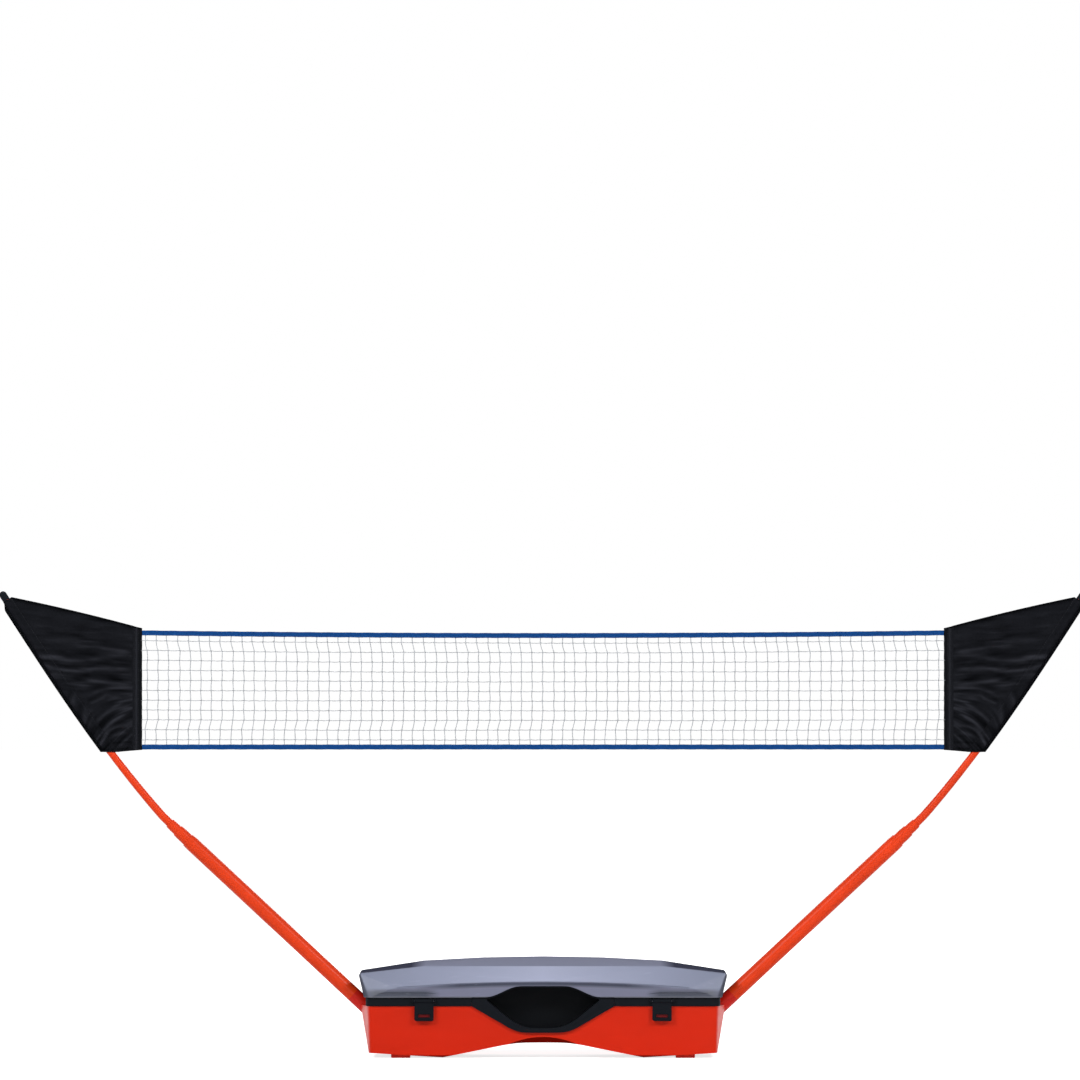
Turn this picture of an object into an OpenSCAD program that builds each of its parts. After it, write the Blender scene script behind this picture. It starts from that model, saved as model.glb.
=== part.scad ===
// Portable net set: a carry case that serves as the foot, two telescopic poles and a net.
// Millimetres. +X runs along the net, -Y is the front of the case, +Z is up, floor at Z = 0.

/* [Case base] */
// Length of the base at its rim
base_l = 840; // [800:5:880]
// Depth of the base at its rim
base_d = 200; // [190:2:220]
// Height of the base rim above the floor
base_h = 124; // [120:1:132]
// How far each end draws in towards the bottom
draft_x = 4; // [2:0.5:8]
// How far the ends bow out past the corners at the rim
bow = 17; // [14:0.5:19]
// How far front and back draw in towards the bottom
draft_y = 6; // [3:0.5:9]
// Wall of the moulded shells
wall = 3; // [2.5:0.25:3.5]
// Corner radius of the base seen from above
corner_r = 12; // [8:1:16]
// Radius along the lower edges
lower_r = 9; // [6:1:12]
// Clear height under the two keels
keel_z = 1.5; // [1:0.25:3]
// Clear height under the ends
end_z = 12.5; // [10:0.5:15]
// Height of the arch between the keels
arch_h = 36; // [30:1:38]
// Half length of the arch's flat crown
arch_flat = 40; // [30:1:50]
// Radius between the arch's crown and its flanks
arch_r = 300; // [260:5:340]
// Slope of the arch's flanks in degrees
arch_slope = 11.5; // [10.5:0.1:12.5]
// Half length of the scoop under the grip
scoop_half = 96; // [86:1:106]
// Height of the scoop's front edge in the middle
scoop_z = 51; // [48:0.5:53]

/* [Feet] */
// Length of each foot
foot_l = 46; // [40:1:50]
// Width of each foot
foot_w = 24; // [18:1:28]
// Middle of each foot, from the end of the case
foot_inset = 80; // [70:1:90]

/* [Lid] */
// Height of the black rim between base and lid
rim_h = 21; // [19:0.5:24]
// How far the rim stands out past the base
rim_out = 3.5; // [3:0.25:4]
// Width of the rim's section
rim_w = 12; // [10:0.5:14]
// Height of the lid shell above the rim
lid_h = 93; // [88:1:98]
// How far the lid's lower edge stands out past the base
lid_out = 8; // [7:0.5:9]
// How far the lid's ends lean out past its lower edge
lid_lean = 12; // [9:1:14]
// Height of the lid's front crease above its lower edge, in the middle
crease_h = 37; // [34:1:40]
// How far the crease stands out past the lid's lower edge
crease_out = 5; // [3:0.5:6]
// Rise of the lid's crown from its shoulders to the middle
crown = 10; // [8:0.5:12]
// Gap between the closed rim and the base
seam_gap = 0.4; // [0.3:0.05:0.6]

/* [Hinge] */
// Middle of each hinge, from the end of the case
hinge_inset = 180; // [160:5:200]
// Radius of the hinge knuckles
knuckle_r = 6; // [5:0.25:6.5]
// Radius of the hinge pins
pin_r = 2; // [1.5:0.1:2.5]
// Length of each base knuckle
knuckle_l = 16; // [12:1:20]
// Length of each lid knuckle
mid_knuckle_l = 24; // [18:1:30]

/* [Latches] */
// Middle of each latch, from the end of the case
latch_inset = 136; // [125:1:150]
// Width of each latch
latch_w = 46; // [40:1:48]
// Height of the latch pins above the base rim
latch_up = 13; // [12:0.5:14]
// Reach of each latch below its pin
latch_drop = 48; // [46:1:52]
// Thickness of the latch plate
latch_t = 4; // [3.5:0.25:4.5]
// Radius of the latch barrel
barrel_r = 4.5; // [4:0.1:5]
// Radius of the latch pins
latch_pin_r = 1.5; // [1.2:0.1:1.8]
// Width of the window over the catch
window_w = 28; // [24:1:30]
// Height of the window over the catch
window_h = 8; // [7:0.5:9]
// Height of the window above the latch's lower edge
window_up = 8.5; // [7.5:0.5:9.5]

/* [Grip] */
// Half length of the grip surround
grip_half = 170; // [160:1:180]
// Height of the surround's lowest edge above the floor
grip_low_z = 61; // [58:1:66]
// Rise of the surround above the rim
grip_rise = 27; // [24:1:30]
// Depth of the hand pocket
pocket_depth = 56; // [50:1:60]
// Half length of the hand pocket
pocket_half = 134; // [128:1:138]
// Width of the lip below the pocket, in the middle
lip_w = 11; // [10:0.5:13]
// Width of the brow above the pocket
brow_w = 3.5; // [3.5:0.5:6]

/* [Poles] */
// Angle of the straight pole sections above the floor
pole_a = 43; // [41.5:0.1:44.5]
// Height of the pole axis where it crosses the end wall
pole_z = 115.5; // [114:0.5:117]
// Outer radius of the base tube
tube_r = 18; // [17:0.25:18.5]
// Wall of the pole tubes
tube_wall = 1.6; // [1.4:0.1:1.8]
// Sliding clearance between pole sections
slide_gap = 0.4; // [0.3:0.05:0.5]
// Length of the socket's shoulder outside the case
shoulder_l = 48; // [46:0.5:52]
// Showing length of the second section
second_out = 34; // [32:0.5:40]
// Showing length of the third section
third_out = 26; // [26:0.5:32]
// Length that each section keeps inside the one below it
overlap = 120; // [100:5:140]
// Radius of the top rod where it leaves the third section
rod_r = 10; // [9.6:0.1:10.2]
// Radius of the top rod at its tip
rod_tip_r = 6.5; // [6:0.1:7]
// Length of the top rod above the third section
rod_l = 676; // [660:1:690]
// Kink of the top rod in degrees, where it leaves the third section
rod_kink = 5; // [4:0.1:6]
// Length over which the rod takes its kink
kink_l = 40; // [36:1:50]
// Further bend of the top rod in degrees, from its root to its tip
rod_bend = 8.9; // [8:0.1:10]

/* [Net] */
// Length of the net between its end panels
net_l = 1924; // [1900:2:1950]
// Height of the net between its tapes, at the ends
net_h = 262; // [255:1:270]
// Sag of the top tape in the middle
net_sag = 6.5; // [0:0.5:15]
// Number of meshes along the net
net_cols = 45; // [30:1:45]
// Number of meshes up the net
net_rows = 6; // [4:1:6]
// Thickness of the net cord
cord_t = 2; // [1.5:0.1:2.5]
// Height of the top and bottom tapes
tape_h = 11.5; // [10:0.5:13]
// Thickness of the tapes
tape_t = 3; // [2.5:0.25:4]

/* [End panels] */
// Distance from the hem to the rod at the panel's lower edge
panel_low_w = 52.6; // [50:0.1:60]
// Width of the upright hem beside the net
hem_w = 23; // [20:1:26]
// Thickness of the hem
hem_t = 3; // [2.5:0.25:4]
// Thickness of the panel cloth
cloth_t = 1.4; // [1.2:0.1:1.8]
// Start of the pole sleeve along the top rod
sleeve_from = 222; // [216:1:230]
// Width of the flat binding along the outer side of the sleeve
binding_w = 8.5; // [7:0.5:10]
// Depth of the folds in the panel cloth
fold_depth = 5; // [2:0.5:6]

/* [Hidden] */
$fn = 48;

red = "#C92A16";
dark_red = "#8E1D10";
orange = "#E4441F";
grey = "#9AA0B8";
black = "#14161A";
steel = "#A8ABB0";
cloth = "#1E1F24";
blue = "#1A5498";
twine = "#8F9296";

// Small clearances
fit_gap = 0.2;
pin_gap = 0.05;
side_gap = 0.4;
seat_gap = 0.3;
knuckle_gap = 0.5;
cut = 1;

// Case levels and half sizes
base_hx = base_l / 2;
base_hy = base_d / 2;
foot_x = base_hx - foot_inset;
hinge_x = base_hx - hinge_inset;
latch_x = base_hx - latch_inset;
seam_z = base_h + rim_h;
lid_top_z = seam_z + lid_h;
front_y = -(base_hy + rim_out);
hinge_y = base_hy + rim_out + knuckle_r + knuckle_gap;
leaf_h = 9;
leaf_in = 2;
rim_lip = 2;
bow_r = 60;
bow_low_r = 20;

// Lid: edge radius, corners, front and back creases, leaning ends, shoulders and crown
lid_r = 8;
lid_corner_r = 22;
rim_corner_r = 18;
crease_inset = 66;
crease_step = (base_hx - crease_inset) / 3;
crease_fall = (crease_h - 2 * lid_r) / 13;
crease_back = 0.25;
crease_half = 2;
crease_depth = 1.7;
crease_steps = 24;
crease_end = 7;
lean_in = 34;
lean_h = 59;
shoulder_inset = 134;
shoulder_x = base_hx - shoulder_inset;
shoulder_in = 26;
shoulder_drop = 17;
crown_in = 72;
brow_gap = 0.8;

// Groove above each latch
groove_l = 145;
groove_h = 5;
groove_z = seam_z + 10;
groove_out = 112;
groove_tip = 24;
groove_depth = 1.6;

// Underside of the base
arch_end_x = arch_flat + arch_r * sin(arch_slope);
arch_end_z = arch_h - arch_r * (1 - cos(arch_slope));
keel_in_x = arch_end_x + (arch_end_z - keel_z) / tan(arch_slope);
end_slope = (end_z - keel_z) / (base_hx - draft_x - keel_in_x);
function underside_z(x) = keel_z + end_slope * (x - keel_in_x);

// Scoop under the grip: a cylinder that falls towards the back, so that it runs out on the arch
scoop_fall = 31;
scoop_y = -base_hy + draft_y * (1 - scoop_z / base_h);
scoop_rise = scoop_z - arch_h + arch_r - sqrt(pow(arch_r, 2) - pow(scoop_half - arch_flat, 2));
scoop_r = (scoop_half * scoop_half + scoop_rise * scoop_rise) / (2 * scoop_rise);

// Latch and catch
latch_z = base_h + latch_up;
latch_y = front_y - barrel_r - knuckle_gap;
latch_back_y = front_y - 2;
latch_r = 5;
pull_r = 2;
window_z = latch_z - latch_drop + window_up;
catch_side = 1.5;
catch_lift = 1;
catch_w = window_w - 2 * catch_side;
catch_y = latch_back_y + side_gap;
lug_t = 5;

// Pole sections
boss_r = tube_r + 7;
rib_l = 30;
socket_in = 70;
flange_l = 4;
spigot_l = 80;
screw_r = 1.4;
screw_l = 14;
head_r = 2.8;
head_l = 2.4;
screw_ring = (tube_r + boss_r) / 2;
nest_gap = 1;
second_r = tube_r - tube_wall - nest_gap;
third_r = second_r - tube_wall - nest_gap;
mouth_l = 14;
mouth_ramp = 2;
mouth_edge = 0.7;
stop_l = 12;

// Lid notches over the poles
notch_gap = 4;
notch_r = tube_r + notch_gap;
notch_top_z = pole_z + (lid_out + lid_lean / 4) * tan(pole_a) + tube_r / cos(pole_a) + notch_gap;
notch_out = 60;
notch_in = 80;

// Grip surround and the finger well below its pocket
grip_steps = 16;
grip_flat = 38;
grip_soft = 0.35;
brow_flat = 52;
brow_inset = 30;
brow_half = grip_half - brow_inset;
pocket_flat = 20;
pocket_soft = 0.6;
pocket_end = 4;
well_half = 46;
floor_gap = 2;
well_low_z = arch_h + 2 * wall + floor_gap;
well_y = scoop_y + (scoop_z + wall / cos(scoop_fall) + wall + floor_gap - well_low_z) / tan(scoop_fall);

// Top rod, its cap and its sleeve
cap_wall = 2.6;
cap_r = rod_tip_r + cap_wall;
cap_l = 24;
cap_over = 12;
sleeve_to = rod_l - cap_l + cap_over - seat_gap;
cloth_w = 1.2;
binding_run = 40;
rod_steps = 28;
sweep_sides = 16;

// Soft step from 0 to 1
function ease(t) = (1 - cos(180 * min(max(t, 0), 1))) / 2;
function mix(a, b, t) = a * (1 - t) + b * t;

// Lower and upper edges of the grip surround, in the front view
function ramp(t, b) = (t < 0 ? 0 : t < b ? t * t / (2 * b) : t - b / 2) / (1 - b / 2);
function grip_low(x) = mix(grip_low_z, base_h,
    ramp((abs(x) - grip_flat) / (grip_half - grip_flat), grip_soft));
function grip_up(x) = seam_z + grip_rise * (1 - ease((abs(x) - brow_flat) / (brow_half - brow_flat)));
function grip_xs(half) = [for (i = [-grip_steps:grip_steps]) half * i / grip_steps];
grip_outline = concat(
    [for (x = grip_xs(grip_half)) [x, grip_low(x)]],
    [for (x = grip_xs(-grip_half)) [x, grip_up(x)]]);

// Mouth of the hand pocket, grown by extra: its lower edge rises to meet the brow at both ends
function pocket_low(x) = mix(grip_low_z + lip_w, grip_up(pocket_half) - brow_w - pocket_end,
    ramp((abs(x) - pocket_flat) / (pocket_half - pocket_flat), pocket_soft));
function pocket_outline(extra) = let (half = pocket_half + extra) concat(
    [for (x = grip_xs(half)) [x, pocket_low(min(abs(x), pocket_half)) - extra]],
    [for (x = grip_xs(-half)) [x, grip_up(x) - brow_w + extra]]);

// Bent line of the left top rod from its root: it bends like a mast that is pulled at its tip
function rod_dir(s) = let (u = min(max(s / rod_l, 0), 1))
    pole_a + rod_kink * ease(s / kink_l) + rod_bend * (2 * u - u * u);
rod_ds = rod_l / rod_steps;
rod_path = [for (i = 0, p = [0, 0]; i <= rod_steps;
    p = p + rod_ds * [-cos(rod_dir((i + 0.5) * rod_ds)), sin(rod_dir((i + 0.5) * rod_ds))],
    i = i + 1) p];
function rod_run(s) = let (k = min(floor(s / rod_ds), rod_steps - 1))
    mix(rod_path[k], rod_path[k + 1], s / rod_ds - k);

// Ends of the pole sections along the pole, set by the net that the poles hold apart
net_hx = net_l / 2;
pole_reach = net_hx + hem_w + panel_low_w - base_hx;
third_top = (pole_reach + rod_run(sleeve_from)[0]) / cos(pole_a);
second_top = third_top - third_out;
tube_top = second_top - second_out;
function pole_point(t) = [-base_hx - t * cos(pole_a), pole_z + t * sin(pole_a)];
function rod_at(s) = s < 0 ? pole_point(third_top + s) : pole_point(third_top) + rod_run(s);
function rod_side(s, d) = rod_at(s) + d * [sin(rod_dir(s)), cos(rod_dir(s))];
function rod_radius(s) = mix(rod_r, rod_tip_r, min(max(s / rod_l, 0), 1));
function sleeve_in(s) = (rod_radius(s) + seat_gap) / cos(180 / sweep_sides);
function sleeve_out(s) = sleeve_in(s) + cloth_w;

// Net levels, taken from the rod where the sleeve starts; the hems stand past both tapes
hem_lift = 5;
hem_under = 1.5;
hem_over = 4;
hem_low_z = rod_at(sleeve_from)[1] + hem_lift;
net_low_z = hem_low_z + hem_under + tape_h;
hem_top_z = net_low_z + net_h + tape_h + hem_over;
function net_top(x) = net_low_z + net_h - net_sag * (1 - pow(x / net_hx, 2));
hem_out_x = -net_hx - hem_w;
panel_in_x = hem_out_x - seat_gap;

// A ring of points square to the rod, with a fin on its outer side; level turns the ring level.
// The faces that join a row of rings
function ring(c, a, r, fin = 0, level = 0) = [for (k = [0:sweep_sides - 1]) let (
    f = 360 * k / sweep_sides,
    d = (r + (2 * k == sweep_sides ? fin : 0)) * cos(f),
    t = level * d / tan(a))
    [c[0] + d * sin(a) + t * cos(a), r * sin(f), c[1] + d * cos(a) - t * sin(a)]];
function next(k) = (k + 1) % sweep_sides;
function wall_faces(rings, first, out) = [for (i = [0:rings - 2], k = [0:sweep_sides - 1])
    let (a = first + i * sweep_sides, b = a + sweep_sides, n = next(k))
    each out ? [[b + k, b + n, a + n], [b + k, a + n, a + k]]
             : [[a + n, b + n, b + k], [a + k, a + n, b + k]]];

module on_side(side) {
    if (side < 0) children();
    else mirror([1, 0, 0]) children();
}

module along_pole(t) {
    p = pole_point(t);
    translate([p[0], 0, p[1]]) rotate([0, pole_a - 90, 0]) children();
}

// Solid that runs across the case from its front outline
module front_prism(y0, y1, points) {
    translate([0, y1, 0]) rotate([90, 0, 0]) linear_extrude(y1 - y0) polygon(points);
}

module rounded_rect(hx, hy, r) {
    square([2 * hx, 2 * (hy - r)], center = true);
    square([2 * (hx - r), 2 * hy], center = true);
    for (sx = [-1, 1], sy = [-1, 1])
        translate([sx * (hx - r), sy * (hy - r)]) circle(r);
}

module bar_x(x0, x1, y, z, r) {
    translate([x0, y, z]) rotate([0, 90, 0]) cylinder(h = x1 - x0, r = r);
}

// Everything above the underside's outline, raised by lift
module above_underside(lift) {
    far = base_hx + base_h;
    half = concat(
        [[0, arch_h]],
        [for (i = [0:6]) let (a = arch_slope * i / 6)
            [arch_flat + arch_r * sin(a), arch_h - arch_r * (1 - cos(a))]],
        [[keel_in_x, keel_z], [far, underside_z(far)]]);
    n = len(half);
    left = [for (i = [1:n - 1]) [-half[n - i][0], half[n - i][1] + lift]];
    right = [for (p = half) [p[0], p[1] + lift]];
    front_prism(-base_d, base_d, concat(left, right, [[far, 2 * base_h], [-far, 2 * base_h]]));
}

// Base outline: a straight lip at the rim, drafted walls and ends that bow out to the poles
module base_form(inset) {
    lip_h = rim_lip + (inset > 0 ? cut : 0);
    lip_z = base_h - rim_lip;
    hull() for (sx = [-1, 1]) {
        for (sy = [-1, 1]) {
            translate([sx * (base_hx - corner_r), sy * (base_hy - corner_r), lip_z])
                cylinder(h = lip_h, r = corner_r - inset);
            translate([sx * (base_hx - draft_x - lower_r), sy * (base_hy - draft_y - lower_r),
                keel_z + lower_r]) sphere(lower_r - inset, $fn = 32);
        }
        translate([sx * (base_hx + bow - bow_r), 0, lip_z]) cylinder(h = lip_h, r = bow_r - inset);
        translate([sx * (base_hx - draft_x - bow_low_r), 0, end_z + bow_low_r])
            sphere(bow_low_r - inset, $fn = 32);
    }
}

// Space of the scoop under the grip, grown by extra
module grip_scoop(extra) {
    translate([0, scoop_y, scoop_z]) rotate([-scoop_fall, 0, 0])
        translate([0, 0, -scoop_r]) rotate([90, 0, 0])
            cylinder(h = base_d, r = scoop_r + extra, center = true, $fn = 144);
}

// Boss and rib that carry the left pole socket inside the end wall
module socket_boss() {
    along_pole(-socket_in) cylinder(h = 2 * socket_in, r = boss_r);
    front_prism(-wall / 2, wall / 2, [
        [-base_hx - 2 * bow, 0], [-base_hx + rib_l, 0],
        [-base_hx + rib_l, pole_z - rib_l], [-base_hx - 2 * bow, pole_z]]);
}

module screw_ring_on(t) {
    along_pole(t) for (a = [60:120:300]) rotate([0, 0, a]) translate([screw_ring, 0, 0]) children();
}

module knuckle(x0, x1) {
    difference() {
        union() {
            bar_x(x0, x1, hinge_y, base_h, knuckle_r);
            children();
        }
        bar_x(x0 - cut, x1 + cut, hinge_y, base_h, pin_r + pin_gap);
    }
}

module base_shell() color(red) {
    reach = mid_knuckle_l / 2 + side_gap;
    difference() {
        union() {
            difference() {
                intersection() {
                    base_form(0);
                    above_underside(0);
                }
                grip_scoop(0);
                difference() {
                    intersection() {
                        base_form(wall);
                        above_underside(wall);
                    }
                    grip_scoop(wall);
                    for (side = [-1, 1]) on_side(side) socket_boss();
                }
            }
            for (side = [-1, 1]) on_side(side)
                translate([-latch_x - catch_w / 2, catch_y, window_z + catch_lift])
                    cube([catch_w, -base_hy + wall - catch_y, window_h - 2 * catch_lift]);
        }
        for (side = [-1, 1]) on_side(side) {
            along_pole(-socket_in - cut) cylinder(h = 3 * socket_in, r = tube_r + fit_gap);
            screw_ring_on(-socket_in - cut) cylinder(h = screw_l + cut, r = screw_r + pin_gap);
        }
        front_prism(-base_d, -base_hy + 4 * wall, concat(
            [for (x = grip_xs(grip_half)) [x, grip_low(x) - fit_gap]],
            [[grip_half, 2 * base_h], [-grip_half, 2 * base_h]]));
    }
    for (hx = [-hinge_x, hinge_x], s = [-1, 1]) let (
        x0 = hx + min(s * reach, s * (reach + knuckle_l)))
        knuckle(x0, x0 + knuckle_l)
            translate([x0, base_hy - wall / 2, base_h - leaf_h])
                cube([knuckle_l, hinge_y - base_hy + wall / 2, leaf_h - side_gap]);
}

module feet() color(dark_red) {
    y = base_hy - draft_y - lower_r - foot_w / 2;
    x0 = foot_x - foot_l / 2;
    x1 = foot_x + foot_l / 2;
    for (side = [-1, 1], sy = [-1, 1]) mirror([side < 0 ? 1 : 0, 0, 0])
        front_prism(sy * y - foot_w / 2, sy * y + foot_w / 2,
            [[x0, 0], [x1, 0], [x1, underside_z(x1)], [x0, underside_z(x0)]]);
}

module grip_cup() color(black) {
    back_y = front_y + pocket_depth;
    well_top_z = pocket_low(well_half + wall);
    difference() {
        union() {
            front_prism(front_y, -base_hy + 3 * wall, grip_outline);
            front_prism(front_y + wall, back_y + wall, pocket_outline(wall));
            translate([-well_half - wall, well_y, well_low_z - wall])
                cube([2 * (well_half + wall), back_y + wall - well_y, well_top_z - well_low_z + wall]);
        }
        front_prism(front_y - cut, back_y, pocket_outline(0));
        translate([-well_half, well_y + wall, well_low_z])
            cube([2 * well_half, back_y - well_y - wall, well_top_z - well_low_z + cut]);
    }
}

// Socket: a shoulder flush with the base tube, a spigot inside it and a flange inside the case
module socket(side) on_side(side) color(red) {
    difference() {
        along_pole(-socket_in - flange_l) union() {
            cylinder(h = flange_l, r = boss_r);
            cylinder(h = flange_l + socket_in + shoulder_l, r = tube_r);
            cylinder(h = flange_l + socket_in + shoulder_l + spigot_l,
                r = tube_r - tube_wall - fit_gap);
        }
        screw_ring_on(-socket_in - flange_l - cut)
            cylinder(h = flange_l + 2 * cut, r = screw_r + pin_gap);
    }
}

module socket_screws() color(steel)
    for (side = [-1, 1]) on_side(side)
        screw_ring_on(-socket_in - flange_l - head_l) {
            cylinder(h = head_l, r = head_r);
            cylinder(h = head_l + flange_l + screw_l - cut, r = screw_r);
        }

module hinge_pins() color(steel) {
    half = mid_knuckle_l / 2 + side_gap + knuckle_l;
    for (x = [-hinge_x, hinge_x]) bar_x(x - half, x + half, hinge_y, base_h, pin_r);
}

// Tube with a drawn-in mouth; a stop ring at its foot where it slides inside another
module pole_tube(t0, t1, r, mouth_r, stop) color(orange) along_pole(t0) {
    h = t1 - t0;
    stop_r = r + nest_gap - slide_gap;
    foot = stop ? [[stop_r, 0], [stop_r, stop_l], [r, stop_l + mouth_ramp]] : [[r, 0]];
    rotate_extrude() polygon(concat(
        [[r - tube_wall, 0]], foot,
        [[r, h - mouth_l], [r - mouth_edge, h - mouth_edge], [r - 2 * mouth_edge, h], [mouth_r, h],
         [mouth_r, h - mouth_l + mouth_ramp], [r - tube_wall, h - mouth_l - mouth_ramp]]));
}

module base_tube(side) on_side(side)
    pole_tube(shoulder_l, tube_top, tube_r, second_r + slide_gap, false);

module second_tube(side) on_side(side)
    pole_tube(tube_top - overlap, second_top, second_r, third_r + slide_gap, true);

module third_tube(side) on_side(side)
    pole_tube(second_top - overlap, third_top, third_r, rod_r + slide_gap, true);

module top_rod(side) on_side(side) color(orange) {
    stations = concat([-overlap + stop_l], [for (i = [0:rod_steps]) i * rod_ds]);
    rings = len(stations);
    points = [for (s = stations) each ring(rod_at(s), rod_dir(s), rod_radius(s))];
    last = (rings - 1) * sweep_sides;
    polyhedron(points, concat(wall_faces(rings, 0, true),
        [[for (k = [0:sweep_sides - 1]) k]],
        [[for (k = [0:sweep_sides - 1]) last + sweep_sides - 1 - k]]));
}

module tip_cap(side) on_side(side) color(black) {
    p = rod_at(rod_l);
    bore = rod_radius(rod_l - cap_l) + seat_gap;
    translate([p[0], 0, p[1]]) rotate([0, rod_dir(rod_l) - 90, 0]) rotate_extrude()
        polygon(concat(
            [[0, seat_gap], [bore, seat_gap], [bore, cap_over - cap_l], [cap_r, cap_over - cap_l]],
            [for (a = [0:15:90]) [cap_r * cos(a), cap_over - cap_r + cap_r * sin(a)]]));
}

// Width of the sleeve's binding, which runs out below the cap
function binding_at(s) = binding_w * ease((sleeve_to - s) / binding_run);

module sleeve(side) on_side(side) color(cloth) {
    rings = 17;
    stations = [for (i = [0:rings - 1]) mix(sleeve_from, sleeve_to, i / (rings - 1))];
    outer = [for (i = [0:rings - 1]) let (s = stations[i])
        each ring(rod_at(s), rod_dir(s), sleeve_out(s), binding_at(s), i == 0 ? 1 : 0)];
    inner = [for (i = [0:rings - 1]) let (s = stations[i])
        each ring(rod_at(s), rod_dir(s), sleeve_in(s), 0, i == 0 ? 1 : 0)];
    m = len(outer);
    top = m - sweep_sides;
    ends = [for (k = [0:sweep_sides - 1]) let (n = next(k)) each [
        [k, n, m + n], [k, m + n, m + k],
        [top + n, top + k, m + top + k], [top + n, m + top + k, m + top + n]]];
    polyhedron(concat(outer, inner),
        concat(wall_faces(rings, 0, true), wall_faces(rings, m, false), ends));
}

// Depth of the cloth's folds: rays from the low outer corner, and soft bands above them
function fold(u, v) = let (
    edge = sin(180 * u) * (0.35 + 0.65 * sin(180 * min(v + 0.08, 1))),
    rays = sin(10 * atan2(v + 0.06, u + 0.12)),
    bands = sin(360 * (2.6 * v + 0.5 * u)))
    fold_depth * edge * mix(rays, bands, ease(1.6 * v - 0.5));

panel_inset = 3;
panel_cols = 22;
panel_rows = 24;
panel_low_s = sleeve_from + panel_inset - (sleeve_out(sleeve_from) + seat_gap) / tan(rod_dir(sleeve_from));
function panel_edge(v) = let (s = mix(panel_low_s, sleeve_to - panel_inset, v))
    rod_side(s, sleeve_out(s) + seat_gap);
function edge_line(x, hem_z, p) = mix(hem_z, p[1], (x + net_hx) / (p[0] + net_hx));
function low_line(x) = edge_line(x, hem_low_z, panel_edge(0));
function top_line(x) = edge_line(x, hem_top_z, panel_edge(1));
function panel_at(u, v) = mix(panel_edge(v),
    [panel_in_x, mix(low_line(panel_in_x), top_line(panel_in_x), v)], u);
function panel_id(i, j) = i * (panel_rows + 1) + j;

module panel(side) on_side(side) color(cloth) {
    nu = panel_cols;
    nv = panel_rows;
    sheet = [for (i = [0:nu], j = [0:nv]) let (u = i / nu, v = j / nv, p = panel_at(u, v))
        [p[0], fold(u, v), p[1]]];
    m = len(sheet);
    front = [for (i = [0:nu - 1], j = [0:nv - 1]) let (
        a = panel_id(i, j), b = panel_id(i, j + 1), c = panel_id(i + 1, j + 1), d = panel_id(i + 1, j))
        each [[a, b, c], [a, c, d]]];
    back = [for (f = front) [m + f[2], m + f[1], m + f[0]]];
    rim = concat(
        [for (i = [0:nu]) panel_id(i, 0)], [for (j = [1:nv]) panel_id(nu, j)],
        [for (i = [1:nu]) panel_id(nu - i, nv)], [for (j = [1:nv - 1]) panel_id(0, nv - j)]);
    edges = [for (k = [0:len(rim) - 1]) let (a = rim[k], b = rim[(k + 1) % len(rim)])
        each [[a, b, m + b], [a, m + b, m + a]]];
    half = [0, cloth_t / 2, 0];
    polyhedron(concat([for (p = sheet) p - half], [for (p = sheet) p + half]),
        concat(front, back, edges));
}

module hem(side) on_side(side) color(cloth)
    front_prism(-hem_t / 2, hem_t / 2, [
        [-net_hx, hem_low_z], [-net_hx, hem_top_z],
        [hem_out_x, top_line(hem_out_x)], [hem_out_x, low_line(hem_out_x)]]);

function knot_x(c) = -net_hx + net_l * c / net_cols;
function knot_z(x, r) = mix(net_low_z, net_top(x), r / net_rows);

module net_mesh() color(twine) {
    half = cord_t / 2;
    outer = concat([[-net_hx, net_low_z], [net_hx, net_low_z]],
        [for (c = [0:net_cols]) let (x = knot_x(net_cols - c)) [x, net_top(x)]]);
    gaps = [for (c = [0:net_cols - 1], r = [0:net_rows - 1])
        let (x0 = knot_x(c), x1 = knot_x(c + 1)) each [
            [x0 + half, knot_z(x0, r) + half], [x1 - half, knot_z(x1, r) + half],
            [x1 - half, knot_z(x1, r + 1) - half], [x0 + half, knot_z(x0, r + 1) - half]]];
    n = len(outer);
    rotate([90, 0, 0]) linear_extrude(cord_t, center = true)
        polygon(concat(outer, gaps), concat([[for (i = [0:n - 1]) i]],
            [for (g = [0:net_cols * net_rows - 1]) [for (k = [0:3]) n + 4 * g + k]]));
}

module top_tape() color(blue) {
    n = net_cols;
    low = [for (c = [0:n]) let (x = -net_hx + net_l * c / n) [x, net_top(x)]];
    high = [for (c = [0:n]) let (p = low[n - c]) [p[0], p[1] + tape_h]];
    front_prism(-tape_t / 2, tape_t / 2, concat(low, high));
}

module bottom_tape() color(blue)
    translate([-net_hx, -tape_t / 2, net_low_z - tape_h]) cube([net_l, tape_t, tape_h]);

// Line of the front crease, and the narrow groove along it
function crease_z(x) = seam_z + crease_h - crease_fall * pow(x / crease_step, 2);
crease_xs = [for (i = [-crease_steps:crease_steps]) (3 * crease_step - crease_end) * i / crease_steps];
crease_band = concat(
    [for (x = crease_xs) [x, crease_z(x) - crease_half]],
    [for (x = crease_xs) [-x, crease_z(x) + crease_half]]);

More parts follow.
